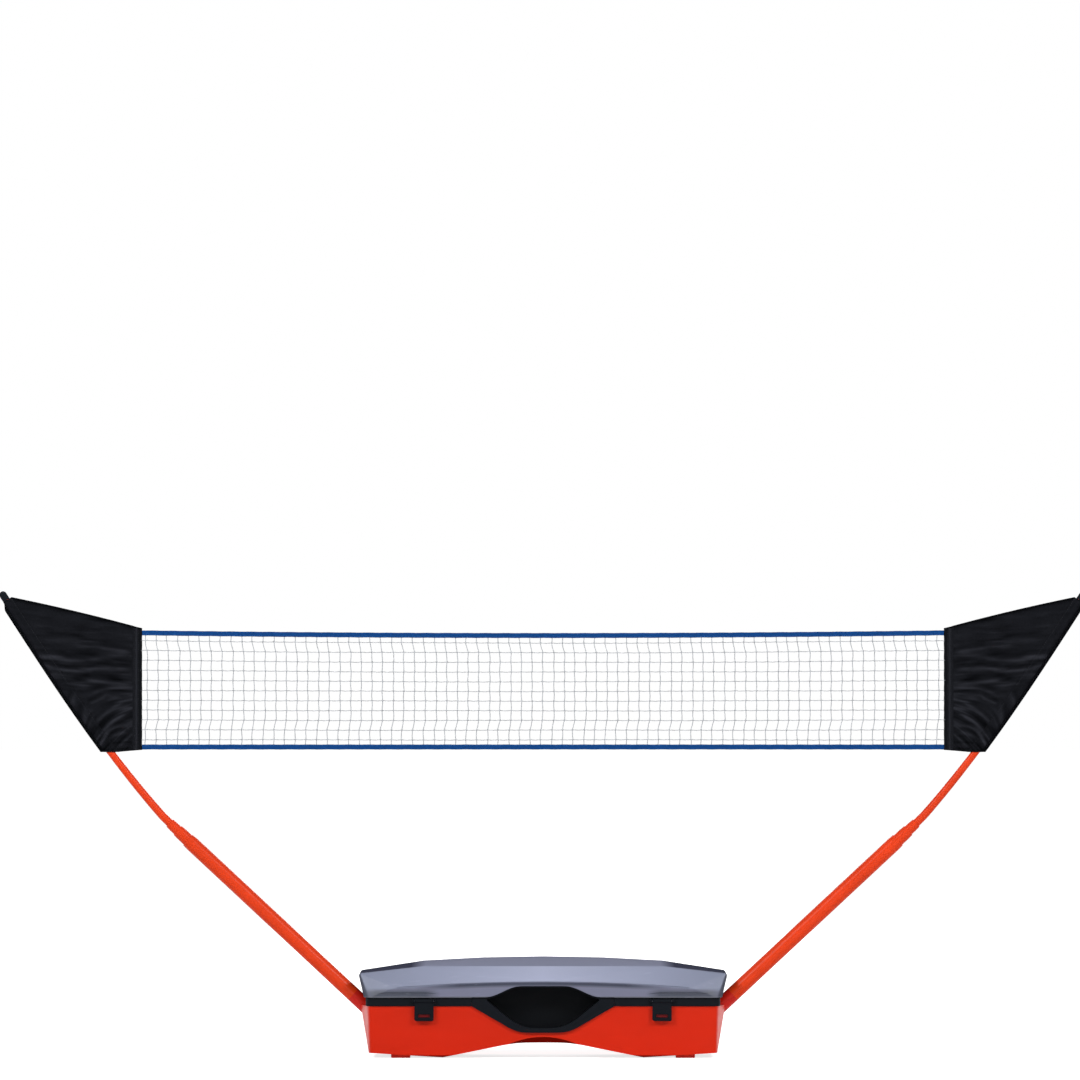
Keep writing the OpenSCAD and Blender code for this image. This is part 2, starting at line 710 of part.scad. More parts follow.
// Lid outline: lower edge, front and back creases, leaning ends and a crowned top
module lid_form(inset) {
    lift = inset > 0 ? cut : 0;
    hx = base_hx + lid_out;
    hy = base_hy + lid_out;
    hull() for (sx = [-1, 1], sy = [-1, 1]) {
        translate([sx * (hx - lid_corner_r), sy * (hy - lid_corner_r), seam_z - lift])
            cylinder(h = rim_lip + lift, r = lid_corner_r - inset);
        translate([sx * (hx + lid_lean - lid_r), sy * (hy - lean_in), seam_z + lean_h - lid_r])
            sphere(lid_r - inset, $fn = 32);
        for (k = [0:3])
            translate([sx * crease_step * k, sy * (hy + crease_out - lid_r - crease_back * k * k),
                crease_z(crease_step * k)]) sphere(lid_r - inset, $fn = 32);
        translate([sx * shoulder_x, sy * (hy - shoulder_in), lid_top_z - shoulder_drop - lid_r])
            sphere(lid_r - inset, $fn = 32);
        for (k = [0:2])
            translate([sx * shoulder_x * k / 2, sy * (hy - crown_in), lid_top_z - lid_r - crown * k * k / 4])
                sphere(lid_r - inset, $fn = 32);
    }
}

// Clearance over both poles
module end_notches() {
    for (side = [-1, 1]) on_side(side) translate([-base_hx - notch_out, 0, notch_top_z - notch_r]) {
        rotate([0, 90, 0]) cylinder(h = notch_out + notch_in, r = notch_r);
        translate([0, -notch_r, -notch_out]) cube([notch_out + notch_in, 2 * notch_r, notch_out]);
    }
}

module lid_shell() color(grey) difference() {
    union() {
        difference() {
            lid_form(0);
            lid_form(wall);
        }
        translate([0, 0, seam_z]) linear_extrude(wall) difference() {
            rounded_rect(base_hx + lid_out - wall / 2, base_hy + lid_out - wall / 2,
                lid_corner_r - wall / 2);
            rim_outline(rim_w);
        }
    }
    end_notches();
    difference() {
        front_prism(-base_d, 0, crease_band);
        lid_form(crease_depth);
    }
    for (side = [-1, 1]) on_side(side) let (x0 = -latch_x - groove_out, x1 = x0 + groove_l)
        front_prism(-base_d, -base_hy - lid_out + groove_depth / 2, [
            [x0, groove_z], [x0 + groove_tip, groove_z - groove_h / 2],
            [x1 - groove_tip, groove_z - groove_h / 2], [x1, groove_z],
            [x1 - groove_tip, groove_z + groove_h / 2], [x0 + groove_tip, groove_z + groove_h / 2]]);
    front_prism(-base_d, -base_hy + rim_w + wall, concat(
        [[-grip_half - side_gap, base_h], [grip_half + side_gap, base_h]],
        [for (x = grip_xs(-grip_half - side_gap)) [x, grip_up(x) + brow_gap]]));
}

module rim_outline(inset)
    rounded_rect(base_hx + rim_out - inset, base_hy + rim_out - inset, rim_corner_r - inset);

module rim_ring() translate([0, 0, base_h + seam_gap]) linear_extrude(rim_h - seam_gap) difference() {
    rim_outline(0);
    rim_outline(rim_w);
}

module rear_rim() color(black) {
    difference() {
        rim_ring();
        end_notches();
        translate([-base_l, -2 * base_d, 0]) cube([2 * base_l, 2 * base_d, 2 * seam_z]);
    }
    for (x = [-hinge_x, hinge_x]) knuckle(x - mid_knuckle_l / 2, x + mid_knuckle_l / 2)
        translate([x - mid_knuckle_l / 2, base_hy + rim_out - leaf_in, base_h + seam_gap])
            cube([mid_knuckle_l, hinge_y - base_hy - rim_out + leaf_in, leaf_h]);
}

// Front rim strip with the two lugs that hold the latch pin
module front_rim(side) on_side(side) color(black) {
    difference() {
        rim_ring();
        end_notches();
        translate([-base_l, 0, 0]) cube([2 * base_l, base_d, 2 * seam_z]);
        translate([-grip_half - side_gap, -base_d, 0]) cube([2 * base_l, 2 * base_d, 2 * seam_z]);
    }
    for (s = [-1, 1]) let (x0 = -latch_x - lug_t / 2 + s * (latch_w / 2 + side_gap + lug_t / 2))
        difference() {
            union() {
                bar_x(x0, x0 + lug_t, latch_y, latch_z, barrel_r);
                translate([x0, latch_y, latch_z - barrel_r])
                    cube([lug_t, front_y - latch_y + cut, 2 * barrel_r]);
            }
            bar_x(x0 - cut, x0 + lug_t + cut, latch_y, latch_z, latch_pin_r + pin_gap);
        }
}

module latch_pin(side) on_side(side) color(steel) {
    half = latch_w / 2 + side_gap + lug_t;
    bar_x(-latch_x - half, -latch_x + half, latch_y, latch_z, latch_pin_r);
}

module latch(side) on_side(side) color(black) difference() {
    union() {
        bar_x(-latch_x - latch_w / 2, -latch_x + latch_w / 2, latch_y, latch_z, barrel_r);
        translate([-latch_x, latch_back_y, latch_z]) rotate([90, 0, 0]) linear_extrude(latch_t)
            difference() {
                union() {
                    translate([-latch_w / 2, latch_r - latch_drop]) square([latch_w, latch_drop - latch_r]);
                    translate([latch_r - latch_w / 2, -latch_drop])
                        square([latch_w - 2 * latch_r, 2 * latch_r]);
                    for (s = [-1, 1])
                        translate([s * (latch_w / 2 - latch_r), latch_r - latch_drop]) circle(latch_r);
                }
                translate([-window_w / 2, window_z - latch_z]) square([window_w, window_h]);
            }
        bar_x(-latch_x - latch_w / 2 + latch_r, -latch_x + latch_w / 2 - latch_r,
            latch_back_y - latch_t, latch_z - latch_drop + pull_r, pull_r);
    }
    bar_x(-latch_x - latch_w, -latch_x + latch_w, latch_y, latch_z, latch_pin_r + pin_gap);
}

base_shell();
feet();
grip_cup();
socket(-1);  // left_socket
socket(1);  // right_socket
socket_screws();
hinge_pins();
base_tube(-1);  // left_base_tube
base_tube(1);  // right_base_tube
lid_shell();
rear_rim();
front_rim(-1);  // left_rim
front_rim(1);  // right_rim
latch(-1);  // left_latch
latch(1);  // right_latch
latch_pin(-1);  // left_latch_pin
latch_pin(1);  // right_latch_pin
second_tube(-1);  // left_second_tube
second_tube(1);  // right_second_tube
third_tube(-1);  // left_third_tube
third_tube(1);  // right_third_tube
top_rod(-1);  // left_top_rod
top_rod(1);  // right_top_rod
tip_cap(-1);  // left_tip_cap
tip_cap(1);  // right_tip_cap
sleeve(-1);  // left_sleeve
sleeve(1);  // right_sleeve
panel(-1);  // left_panel
panel(1);  // right_panel
hem(-1);  // left_hem
hem(1);  // right_hem
net_mesh();
top_tape();
bottom_tape();
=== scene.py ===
"""Portable net set: a carry case as the foot, two telescopic poles and a net with cloth end panels."""

import math
import random

import bpy
import numpy as np
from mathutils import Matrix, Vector, noise


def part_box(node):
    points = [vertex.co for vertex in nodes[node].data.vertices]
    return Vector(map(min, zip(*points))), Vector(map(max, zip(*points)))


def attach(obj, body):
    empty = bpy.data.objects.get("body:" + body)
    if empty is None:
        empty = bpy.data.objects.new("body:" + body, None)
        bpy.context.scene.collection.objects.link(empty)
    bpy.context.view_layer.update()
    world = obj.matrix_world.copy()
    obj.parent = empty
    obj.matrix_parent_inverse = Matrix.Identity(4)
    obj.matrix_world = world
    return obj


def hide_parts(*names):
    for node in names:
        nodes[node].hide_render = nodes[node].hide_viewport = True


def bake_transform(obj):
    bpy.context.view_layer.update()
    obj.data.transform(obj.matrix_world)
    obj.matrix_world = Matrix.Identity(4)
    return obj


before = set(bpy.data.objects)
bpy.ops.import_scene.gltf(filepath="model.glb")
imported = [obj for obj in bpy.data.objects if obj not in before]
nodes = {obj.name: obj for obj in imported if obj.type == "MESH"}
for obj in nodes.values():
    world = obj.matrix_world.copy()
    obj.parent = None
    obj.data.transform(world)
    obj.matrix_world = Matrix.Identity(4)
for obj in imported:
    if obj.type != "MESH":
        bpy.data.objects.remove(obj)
spares = [o for o in bpy.data.objects if o.type in {"MESH", "LIGHT", "CAMERA"} and o.name not in nodes]
for spare in spares:
    bpy.data.objects.remove(spare)
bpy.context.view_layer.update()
SIDES = {"left": -1.0, "right": 1.0}

# Colours as they look on screen, 0 to 255
RED = (207, 37, 8)
# Painted shade on the base's underside
RED_UNDER_SHADE = (132, 19, 6)
# Painted shade in the recess round each latch's catch
CATCH_SHADE_RED = (112, 17, 20)
SOCKET_RED = (203, 28, 12)
FOOT_RED = (216, 46, 29)
ORANGE = (225, 62, 20)
GREY = (166, 171, 195)
# The next seven colours are painted shade on the lid: towards its ends, on its lower facet, a painted
# shadow under the front crease, in the hollows above the latches, on its top, shoulders and ends
LID_FAR_SHADE = (123, 129, 150)
LID_LOW_SHADE = (117, 120, 141)
LID_CREASE_SHADOW = (62, 66, 82)
LID_HOLLOW_SHADE = (74, 78, 91)
LID_TOP_SHADE = (136, 139, 160)
LID_SHOULDER_SHADE = (66, 68, 84)
LID_END_SHADE = (84, 87, 99)
LID_LIP = (98, 101, 111)
# Painted shade: the grip pocket's hollow, a darker copy of the black plastic
GRIP_SHADED_BLACK = (13, 15, 18)
BAND_BLACK = (20, 23, 28)
STEEL = (176, 178, 182)
CLOTH = (26, 27, 31)
# Painted shade in the cloth's hollows and painted highlight on its ridges
CLOTH_PAINTED_SHADE = (8, 9, 11)
CLOTH_PAINTED_HIGHLIGHT = (49, 50, 56)
TWINE = (188, 191, 196)
BLUE = (16, 64, 124)
THREAD = (38, 39, 44)
BLUE_THREAD = (58, 112, 176)

# Poles, in metres and degrees: the rod bends like a mast that is pulled at its tip
POLE_ANGLE = 43.0
POLE_FOOT = (0.420, 0.1155)
ROD_LENGTH = 0.676
ROD_STEPS = 28
ROD_KINK = 5.0
KINK_LENGTH = 0.040
ROD_BEND = 8.9
ROD_RADIUS = (0.010, 0.0065)
SLEEVE_SPAN = (0.222, 0.6637)
SLEEVE_GAP = 0.0015
PANEL_LOW_WIDTH = 0.0526
PANEL_INSET = 0.0003

# Net, in metres: its strands, their knots and how they hang
COLUMNS = 75
STRANDS = 11
CORD_RADIUS = 0.00095
KNOT_SWELL = 0.75
KNOT_REACH = 0.0013
KNOT_STEP = 0.0012
NET_SAG = 0.0065
MESH_SAG = 0.0009
SLANT = 0.005
STRAY = 0.001
SLACK = 0.0007
CROSSING = 0.0003
TAPE_TUCK = 0.005
HEM_REACH = 0.004
HEM_UNDER = 0.0015
HEM_OVER = 0.004

# Where the lid's tones change, most of them painted shade: distances from the middle and heights in
# metres, or how far a face turns up or to the side, from 0 to 1. The front crease is highest in the
# middle and falls to both ends.
LID_HALF = 0.42
CREASE_Z = 0.182
CREASE_BOW = 0.116
CREASE_TOP = (-0.002, 0.001)
CREASE_FOOT = (0.005, 0.012)
CREASE_ENDS = (0.20, 0.31)
FACET_TOP = (0.0, 0.003)
HOLLOW_IN = (0.245, 0.28)
HOLLOW_OUT = (0.40, 0.44)
HOLLOW_TOP = (0.157, 0.168)
SHOULDER_IN = (0.280, 0.315)
LIP_TOP = (0.1470, 0.1480)
LID_UPWARD = (0.72, 0.84)
LID_SIDEWAYS = (0.35, 0.6)
LID_SHINE = 0.25

# The same for base and grip, whose underside, catch recess and pocket hollow carry painted shade; the
# catch is measured from its middle, which lies above the latch's end
BASE_SHINE = (0.12, 0.8)
BASE_SIDEWAYS = (0.5, 0.8)
BASE_DOWNWARD = (-0.5, -0.2)
BASE_FORWARD = (-0.4, -0.1)
BASE_FRONT = (-0.095, -0.090)
CATCH_RISE = 0.0125
CATCH_ACROSS = (0.014, 0.016)
CATCH_ALONG = (0.0045, 0.0065)
GRIP_LIP = (-0.104, -0.098)

# Cloth
CLOTH_THICKNESS = 0.0009
HEM_TUCK = 0.004


def mix(a, b, t):
    return a + (b - a) * t


def smooth(t):
    t = np.clip(t, 0.0, 1.0)
    return t * t * (3.0 - 2.0 * t)


def bell(distance, reach):
    """1 at no distance, falling off on both sides."""
    return np.exp(-((distance / reach) ** 2))


def uneven(t, wave, drift, phase=0.0, amount=2.0):
    """A wave from -1 to 1 whose spacing drifts."""
    return np.sin(t * wave + amount * np.sin(t * drift + phase))


def shade(color, factor=1.0):
    """Screen colour, 0 to 255, as linear RGBA, made darker or lighter by a factor."""
    parts = [c / 255.0 for c in color]
    parts = [p / 12.92 if p <= 0.04045 else ((p + 0.055) / 1.055) ** 2.4 for p in parts]
    return [min(1.0, p * factor) for p in parts] + [1.0]


# Materials


class Nodes:
    """Makes and links the nodes of a material or of the world."""

    def __init__(self, tree):
        self.tree = tree

    def give(self, socket, value):
        """Link a socket to another one, or set its value."""
        if isinstance(value, bpy.types.NodeSocket):
            self.tree.links.new(value, socket)
        else:
            socket.default_value = value

    def node(self, kind, inputs=None, **settings):
        made = self.tree.nodes.new(kind)
        for key, value in settings.items():
            setattr(made, key, value)
        for key, value in (inputs or {}).items():
            self.give(made.inputs[key], value)
        return made

    def math(self, operation, a, b):
        return self.node("ShaderNodeMath", {0: a, 1: b}, operation=operation).outputs["Value"]

    def size(self, value):
        return self.math("ABSOLUTE", value, 0.0)

    def times(self, *values):
        product = values[0]
        for value in values[1:]:
            product = self.math("MULTIPLY", product, value)
        return product

    def parts(self, vector):
        return self.node("ShaderNodeSeparateXYZ", {"Vector": vector}).outputs

    def remap(self, value, low, high, start=0.3, stop=0.7):
        made = self.node("ShaderNodeMapRange", {
            "Value": value, "From Min": start, "From Max": stop, "To Min": low, "To Max": high})
        return made.outputs["Result"]

    def rise(self, value, start, stop):
        """Mask that goes from 0 at start to 1 at stop."""
        return self.remap(value, 0.0, 1.0, start, stop)

    def fall(self, value, start, stop):
        """Mask that goes from 1 at start to 0 at stop."""
        return self.remap(value, 1.0, 0.0, start, stop)

    def seen(self):
        """1 for rays that show something in the picture, 0 for those that only gather light."""
        path = self.node("ShaderNodeLightPath").outputs
        seen = path["Is Camera Ray"]
        for kind in ("Is Glossy Ray", "Is Transmission Ray"):
            seen = self.math("MAXIMUM", seen, path[kind])
        return seen


class Look(Nodes):
    """One procedural material: a Principled shader whose inputs come from noise and weave nodes."""

    def __init__(self, name, **sockets):
        self.material = bpy.data.materials.new(name)
        self.material.use_nodes = True
        super().__init__(self.material.node_tree)
        self.shader = self.tree.nodes["Principled BSDF"]
        for key, value in sockets.items():
            self.feed(value, key.replace("_", " "))
        coordinates = self.node("ShaderNodeTexCoord").outputs
        self.place = coordinates["Object"]
        self.facing = coordinates["Normal"]
        self.normal = None

    def feed(self, value, socket):
        self.give(self.shader.inputs[socket], value)

    def stretched(self, scale):
        return self.node("ShaderNodeMapping", {"Vector": self.place, "Scale": scale}).outputs["Vector"]

    def noise(self, scale, detail=4.0, place=None):
        made = self.node("ShaderNodeTexNoise", {
            "Vector": place or self.place, "Scale": scale, "Detail": detail, "Roughness": 0.6})
        return made.outputs["Fac"]

    def ribs(self, pitch, axis, distortion=0.6):
        """Ridges a pitch apart in metres along an axis; a wave turns by 20 times its scale per metre."""
        made = self.node("ShaderNodeTexWave", {
            "Vector": self.place, "Scale": math.tau / (20.0 * pitch), "Distortion": distortion,
            "Detail": 1.0, "Detail Scale": 1.5}, wave_type="BANDS", bands_direction=axis)
        return made.outputs["Fac"]

    def tint(self, factor, below, above):
        """Colour between two, each of them a colour or a socket."""
        made = self.node("ShaderNodeMix", {"Factor": factor}, data_type="RGBA")
        for socket, color in zip([s for s in made.inputs if s.type == "RGBA"], (below, above)):
            self.give(socket, color)
        return [s for s in made.outputs if s.type == "RGBA"][0]

    def cloud(self, color, dark, light, scale, detail=4.0, place=None):
        """Colour that drifts between a dark and a light shade."""
        drift = self.remap(self.noise(scale, detail, place), 0.0, 1.0)
        return self.tint(drift, shade(color, dark), shade(color, light))

    def paint(self, color):
        self.feed(color, "Base Color")

    def gloss(self, low, high, scale):
        self.feed(self.remap(self.noise(scale), low, high), "Roughness")

    def bump(self, height, distance, strength):
        inputs = {"Height": height, "Distance": distance, "Strength": strength}
        if self.normal is not None:
            inputs["Normal"] = self.normal
        self.normal = self.node("ShaderNodeBump", inputs).outputs["Normal"]
        self.feed(self.normal, "Normal")


def moulded(name, color, rough, spread=0.08, zones=None, **sockets):
    """Moulded plastic: a fine spark-eroded grain, soft flow marks and rubbed patches.

    zones takes the look and gives further tones, each with the mask of the faces that carry it."""
    look = Look(name, **sockets)
    flow = look.stretched((0.6, 2.0, 2.0))
    base = look.cloud(color, 1.0 - spread, 1.0 + spread, scale=3.0, detail=3.0, place=flow)
    for tone, mask in zones(look) if zones else ():
        base = look.tint(mask, base, shade(tone))
    rubbed = look.noise(scale=70.0, detail=6.0, place=look.stretched((0.25, 1.0, 1.0)))
    rubbed = look.remap(rubbed, 0.0, 0.16, start=0.62, stop=0.78)
    look.paint(look.tint(rubbed, base, shade(color, 1.35)))
    look.gloss(rough - 0.07, rough + 0.07, scale=35.0)
    look.bump(look.noise(scale=1500.0, detail=2.0), distance=0.00025, strength=0.5)
    look.bump(look.noise(scale=9.0, detail=2.0), distance=0.0006, strength=0.25)
    return look.material


def lid_zones(look):
    """Tones of the lid, painted shade: darker towards both ends and on the lower facet, a painted shadow
    under the front crease, painted shade in the hollows above the latches, on the top, shoulders and
    ends; and a darker lip.
    """
    place, facing = look.parts(look.place), look.parts(look.facing)
    out = look.size(place["X"])
    line = look.math("SUBTRACT", CREASE_Z, look.times(out, out, CREASE_BOW))
    below = look.math("SUBTRACT", line, place["Z"])
    # Painted shade: darker towards the ends and on the lower facet, a painted shadow under the crease,
    # painted shade in the hollows
    far = look.rise(out, 0.0, LID_HALF)
    low = look.rise(below, *FACET_TOP)
    crease = look.times(look.rise(below, *CREASE_TOP), look.fall(below, *CREASE_FOOT),
                        look.fall(out, *CREASE_ENDS))
    hollow = look.times(look.rise(out, *HOLLOW_IN), look.fall(out, *HOLLOW_OUT),
                        look.fall(place["Z"], *HOLLOW_TOP))
    # Painted shade on upward faces, the shoulders and the ends
    upward = look.rise(facing["Z"], *LID_UPWARD)
    shoulder = look.times(upward, look.rise(out, *SHOULDER_IN))
    sideways = look.rise(look.size(facing["X"]), *LID_SIDEWAYS)
    lip = look.fall(place["Z"], *LIP_TOP)
    matt = look.math("MAXIMUM", upward, sideways)
    look.feed(look.remap(matt, LID_SHINE, 0.0, 0.0, 1.0), "Specular IOR Level")
    return ((LID_FAR_SHADE, far), (LID_LOW_SHADE, low), (LID_CREASE_SHADOW, crease), (LID_HOLLOW_SHADE, hollow),
            (LID_TOP_SHADE, upward), (LID_SHOULDER_SHADE, shoulder), (LID_END_SHADE, sideways), (LID_LIP, lip))


def base_zones(look):
    """Painted shade on the base's underside and round its catches; its leaning ends are polished, so
    they catch the light.
    """
    place, facing = look.parts(look.place), look.parts(look.facing)
    # Painted shade on faces that point down
    under = look.fall(facing["Z"], *BASE_DOWNWARD)
    ends = look.remap(look.size(facing["X"]), *BASE_SHINE, *BASE_SIDEWAYS)
    look.feed(look.times(ends, look.math("SUBTRACT", 1.0, under)), "Specular IOR Level")
    # Painted shade in the recess round each catch
    low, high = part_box("right_latch")
    across = look.math("SUBTRACT", look.size(place["X"]), (low.x + high.x) / 2)
    along = look.math("SUBTRACT", place["Z"], low.z + CATCH_RISE)
    catch = look.times(
        look.fall(look.size(across), *CATCH_ACROSS), look.fall(look.size(along), *CATCH_ALONG),
        look.fall(place["Y"], *BASE_FRONT), look.fall(facing["Y"], *BASE_FORWARD))
    return ((RED_UNDER_SHADE, under), (CATCH_SHADE_RED, catch))


def grip_zones(look):
    """The hand pocket's front lip in the plain black; the hollow behind it keeps the darker black,
    painted shade.
    """
    return ((BAND_BLACK, look.fall(look.parts(look.place)["Y"], *GRIP_LIP)),)


def lacquered(name, color):
    """Lacquered tube: even gloss with handling marks and a faint grain."""
    look = Look(name, Coat_Weight=0.06, Coat_Roughness=0.2, Specular_IOR_Level=0.1)
    base = look.cloud(color, 0.9, 1.08, scale=7.0, detail=3.0)
    marks = look.remap(look.noise(scale=120.0, detail=5.0), 0.0, 0.1, start=0.64, stop=0.8)
    look.paint(look.tint(marks, base, shade(color, 1.4)))
    look.gloss(0.3, 0.44, scale=60.0)
    look.bump(look.noise(scale=900.0, detail=2.0), distance=0.00012, strength=0.4)
    return look.material


def metal(name, color):
    look = Look(name, Metallic=1.0)
    look.paint(look.cloud(color, 0.78, 1.05, scale=160.0))
    look.gloss(0.26, 0.45, scale=300.0)
    look.bump(look.ribs(0.0006, "X"), distance=0.00006, strength=0.4)
    return look.material


def rubber(name, color):
    look = Look(name, Specular_IOR_Level=0.25)
    look.paint(look.cloud(color, 0.82, 1.12, scale=90.0))
    look.gloss(0.7, 0.86, scale=50.0)
    look.bump(look.ribs(0.004, "X", distortion=0.0), distance=0.0005, strength=0.5)
    return look.material


def woven(name, color, pitch, spread, fold_shading=None, **sockets):
    """Plain weave: warp and weft ribs and uneven yarns.

    The fold tones are painted shade for hollows and painted highlight for ridges, where the mesh's fold
    goes down to -1 and up to 1."""
    look = Look(name, **sockets)
    weave = look.times(look.ribs(pitch, "X"), look.ribs(pitch, "Z"))
    yarn = look.stretched((1.0, 1.0, 5.0))
    base = look.cloud(color, 1.0 - spread, 1.0 + spread, scale=24.0, detail=5.0, place=yarn)
    base = look.tint(look.remap(weave, 0.0, 0.5, start=0.2, stop=0.9), base, shade(color, 1.55))
    if fold_shading:
        # Painted shade in the hollows, painted highlight on the ridges
        fold = look.node("ShaderNodeAttribute", attribute_name="fold").outputs["Fac"]
        base = look.tint(look.fall(fold, -1.0, 0.0), base, shade(fold_shading[0]))
        base = look.tint(look.rise(fold, 0.0, 1.0), base, shade(fold_shading[1]))
    look.paint(base)
    look.gloss(0.62, 0.84, scale=40.0)
    look.bump(weave, distance=0.0003, strength=0.8)
    look.bump(look.noise(scale=55.0), distance=0.0009, strength=0.35)
    return look.material


def twisted(name, color):
    """Laid twine: diagonal ridges of its strands."""
    look = Look(name, Specular_IOR_Level=0.3)
    lay = look.ribs(0.0009, "DIAGONAL")
    base = look.cloud(color, 0.82, 1.1, scale=260.0)
    look.paint(look.tint(look.remap(lay, 0.35, 0.0), base, shade(color, 0.55)))
    look.gloss(0.6, 0.8, scale=80.0)
    look.bump(lay, distance=0.0002, strength=0.7)
    return look.material


MATERIALS = {
    "red": moulded("case_red_plastic", RED, 0.42, zones=base_zones),
    "socket": moulded("socket_red_plastic", SOCKET_RED, 0.5, Specular_IOR_Level=0.25),
    "lid": moulded("lid_grey_plastic", GREY, 0.4, 0.04, zones=lid_zones),
    "black": moulded("black_plastic", BAND_BLACK, 0.5, 0.12, Specular_IOR_Level=0.04),
    "grip": moulded("grip_black_plastic", GRIP_SHADED_BLACK, 0.5, 0.12, zones=grip_zones, Specular_IOR_Level=0.04),
    "orange": lacquered("pole_lacquer", ORANGE),
    "steel": metal("bright_steel", STEEL),
    "rubber": rubber("foot_rubber", FOOT_RED),
    "cloth": woven("black_woven_cloth", CLOTH, 0.0011, 0.14, fold_shading=(CLOTH_PAINTED_SHADE, CLOTH_PAINTED_HIGHLIGHT),
                   Specular_IOR_Level=0.0),
    "tape": woven("blue_woven_tape", BLUE, 0.0014, 0.1, Sheen_Weight=0.02, Sheen_Roughness=0.5,
                  Specular_IOR_Level=0.05),
    "stitch": twisted("black_thread", THREAD),
    "blue_stitch": twisted("blue_thread", BLUE_THREAD),
    "twine": twisted("grey_twine", TWINE),
}


def pairs(*parts):
    """Names of nodes that are there on both sides."""
    return [f"{side}_{part}" for side in SIDES for part in parts]


NODE_LOOKS = {
    "red": ["base_shell"],
    "socket": pairs("socket"),
    "lid": ["lid_shell"],
    "black": ["rear_rim"] + pairs("rim", "latch", "tip_cap"),
    "grip": ["grip_cup"],
    "orange": pairs("base_tube", "second_tube", "third_tube", "top_rod"),
    "steel": ["socket_screws", "hinge_pins"] + pairs("latch_pin"),
    "rubber": ["feet"],
}


# Finish of the carried-over CAD nodes: edge angles in degrees, lengths in metres


SMOOTH_BELOW = 24.0
BEVEL_ABOVE = 30.0
WELD = 1e-5
BEVELS = {
    "base_shell": 0.0009, "lid_shell": 0.0009, "grip_cup": 0.0012, "rear_rim": 0.001, "feet": 0.002,
    **dict.fromkeys(pairs("rim"), 0.001), **dict.fromkeys(pairs("latch"), 0.0007),
    **dict.fromkeys(pairs("top_rod"), 0.0),
}


def smoothing_group(degrees):
    """Node group that joins the facets of a node and shades them smooth below an angle."""
    tree = bpy.data.node_groups.new("smooth_below_angle", "GeometryNodeTree")
    tree.interface.new_socket("Geometry", in_out="INPUT", socket_type="NodeSocketGeometry")
    tree.interface.new_socket("Geometry", in_out="OUTPUT", socket_type="NodeSocketGeometry")
    made = {key: tree.nodes.new(kind) for key, kind in (
        ("start", "NodeGroupInput"), ("merge", "GeometryNodeMergeByDistance"),
        ("clear", "GeometryNodeRemoveAttribute"), ("faces", "GeometryNodeSetShadeSmooth"),
        ("angle", "GeometryNodeInputMeshEdgeAngle"), ("sharp", "FunctionNodeCompare"),
        ("edges", "GeometryNodeSetShadeSmooth"), ("end", "NodeGroupOutput"))}
    made["merge"].inputs["Distance"].default_value = WELD
    made["clear"].inputs["Name"].default_value = "custom_normal"
    made["edges"].domain = "EDGE"
    made["edges"].inputs["Shade Smooth"].default_value = False
    made["sharp"].data_type = "FLOAT"
    made["sharp"].operation = "GREATER_THAN"
    made["sharp"].inputs[1].default_value = math.radians(degrees)
    chain = ("start", "merge", "clear", "faces", "edges", "end")
    for giver, taker in zip(chain[:-1], chain[1:]):
        tree.links.new(made[giver].outputs["Geometry"], made[taker].inputs["Geometry"])
    tree.links.new(made["angle"].outputs["Unsigned Angle"], made["sharp"].inputs[0])
    tree.links.new(made["sharp"].outputs["Result"], made["edges"].inputs["Selection"])
    return tree


SMOOTHING = smoothing_group(SMOOTH_BELOW)


def soften(obj, bevel):
    """Smooth shading, and a small radius along the sharp edges where bevel is above 0."""
    modifier = obj.modifiers.new("smooth", "NODES")
    modifier.node_group = SMOOTHING
    if bevel > 0.0:
        edge = obj.modifiers.new("edge radius", "BEVEL")
        edge.width = bevel
        edge.segments = 2
        edge.limit_method = "ANGLE"
        edge.angle_limit = math.radians(BEVEL_ABOVE)
        edge.harden_normals = True


def dress_nodes():
    for look, names in NODE_LOOKS.items():
        for name in names:
            for slot in nodes[name].material_slots:
                slot.material = MATERIALS[look]
    for name, bevel in BEVELS.items():
        soften(nodes[name], bevel)


# Mesh making


class Shape:
    """Points and faces of one mesh, gathered row by row."""

    def __init__(self):
        self.points = []
        self.faces = []
        self.fold_shading = []

    def rows(self, grid, wrap=False, fold=0.0):
        """Quads over a grid of points; wrap joins the last column to the first."""
        grid = np.asarray(grid, float)
        count, width = grid.shape[:2]
        first = len(self.points)
        self.points.extend(map(tuple, grid.reshape(-1, 3)))
        self.fold_shading.extend(np.broadcast_to(fold, (count, width)).ravel())
        for i in range(count - 1):
            for j in range(width if wrap else width - 1):
                k = (j + 1) % width
                low, high = first + i * width, first + (i + 1) * width
                self.faces.append((low + j, low + k, high + k, high + j))
        return first

    def tube(self, rings, fold=0.0):
        """Closed tube through rings of points."""
        count, width = np.shape(rings)[:2]
        first = self.rows(rings, True, fold)
        last = first + (count - 1) * width
        self.faces.append(tuple(first + k for k in reversed(range(width))))
        self.faces.append(tuple(last + k for k in range(width)))

    def make(self, name, look):
        mesh = bpy.data.meshes.new(name)
        mesh.from_pydata(self.points, [], self.faces)
        mesh.shade_smooth()
        # The fold attribute sets the cloth's painted shade and painted highlight
        mesh.attributes.new("fold", "FLOAT", "POINT").data.foreach_set("value", self.fold_shading)
        mesh.materials.append(MATERIALS[look])
        obj = bpy.data.objects.new(name, mesh)
        bpy.context.scene.collection.objects.link(obj)
        return obj


def sweep(path, radii, across, up, sides=6):
    """Rings round a path, square to it: across and up are the two directions of each ring."""
    turn = (np.arange(sides) * math.tau / sides)[None, :, None]
    path = np.asarray(path, float)
    across, up = (np.broadcast_to(np.asarray(a, float), path.shape)[:, None, :] for a in (across, up))
    offset = np.cos(turn) * across + np.sin(turn) * up
    return path[:, None, :] + np.reshape(radii, (-1, 1, 1)) * offset


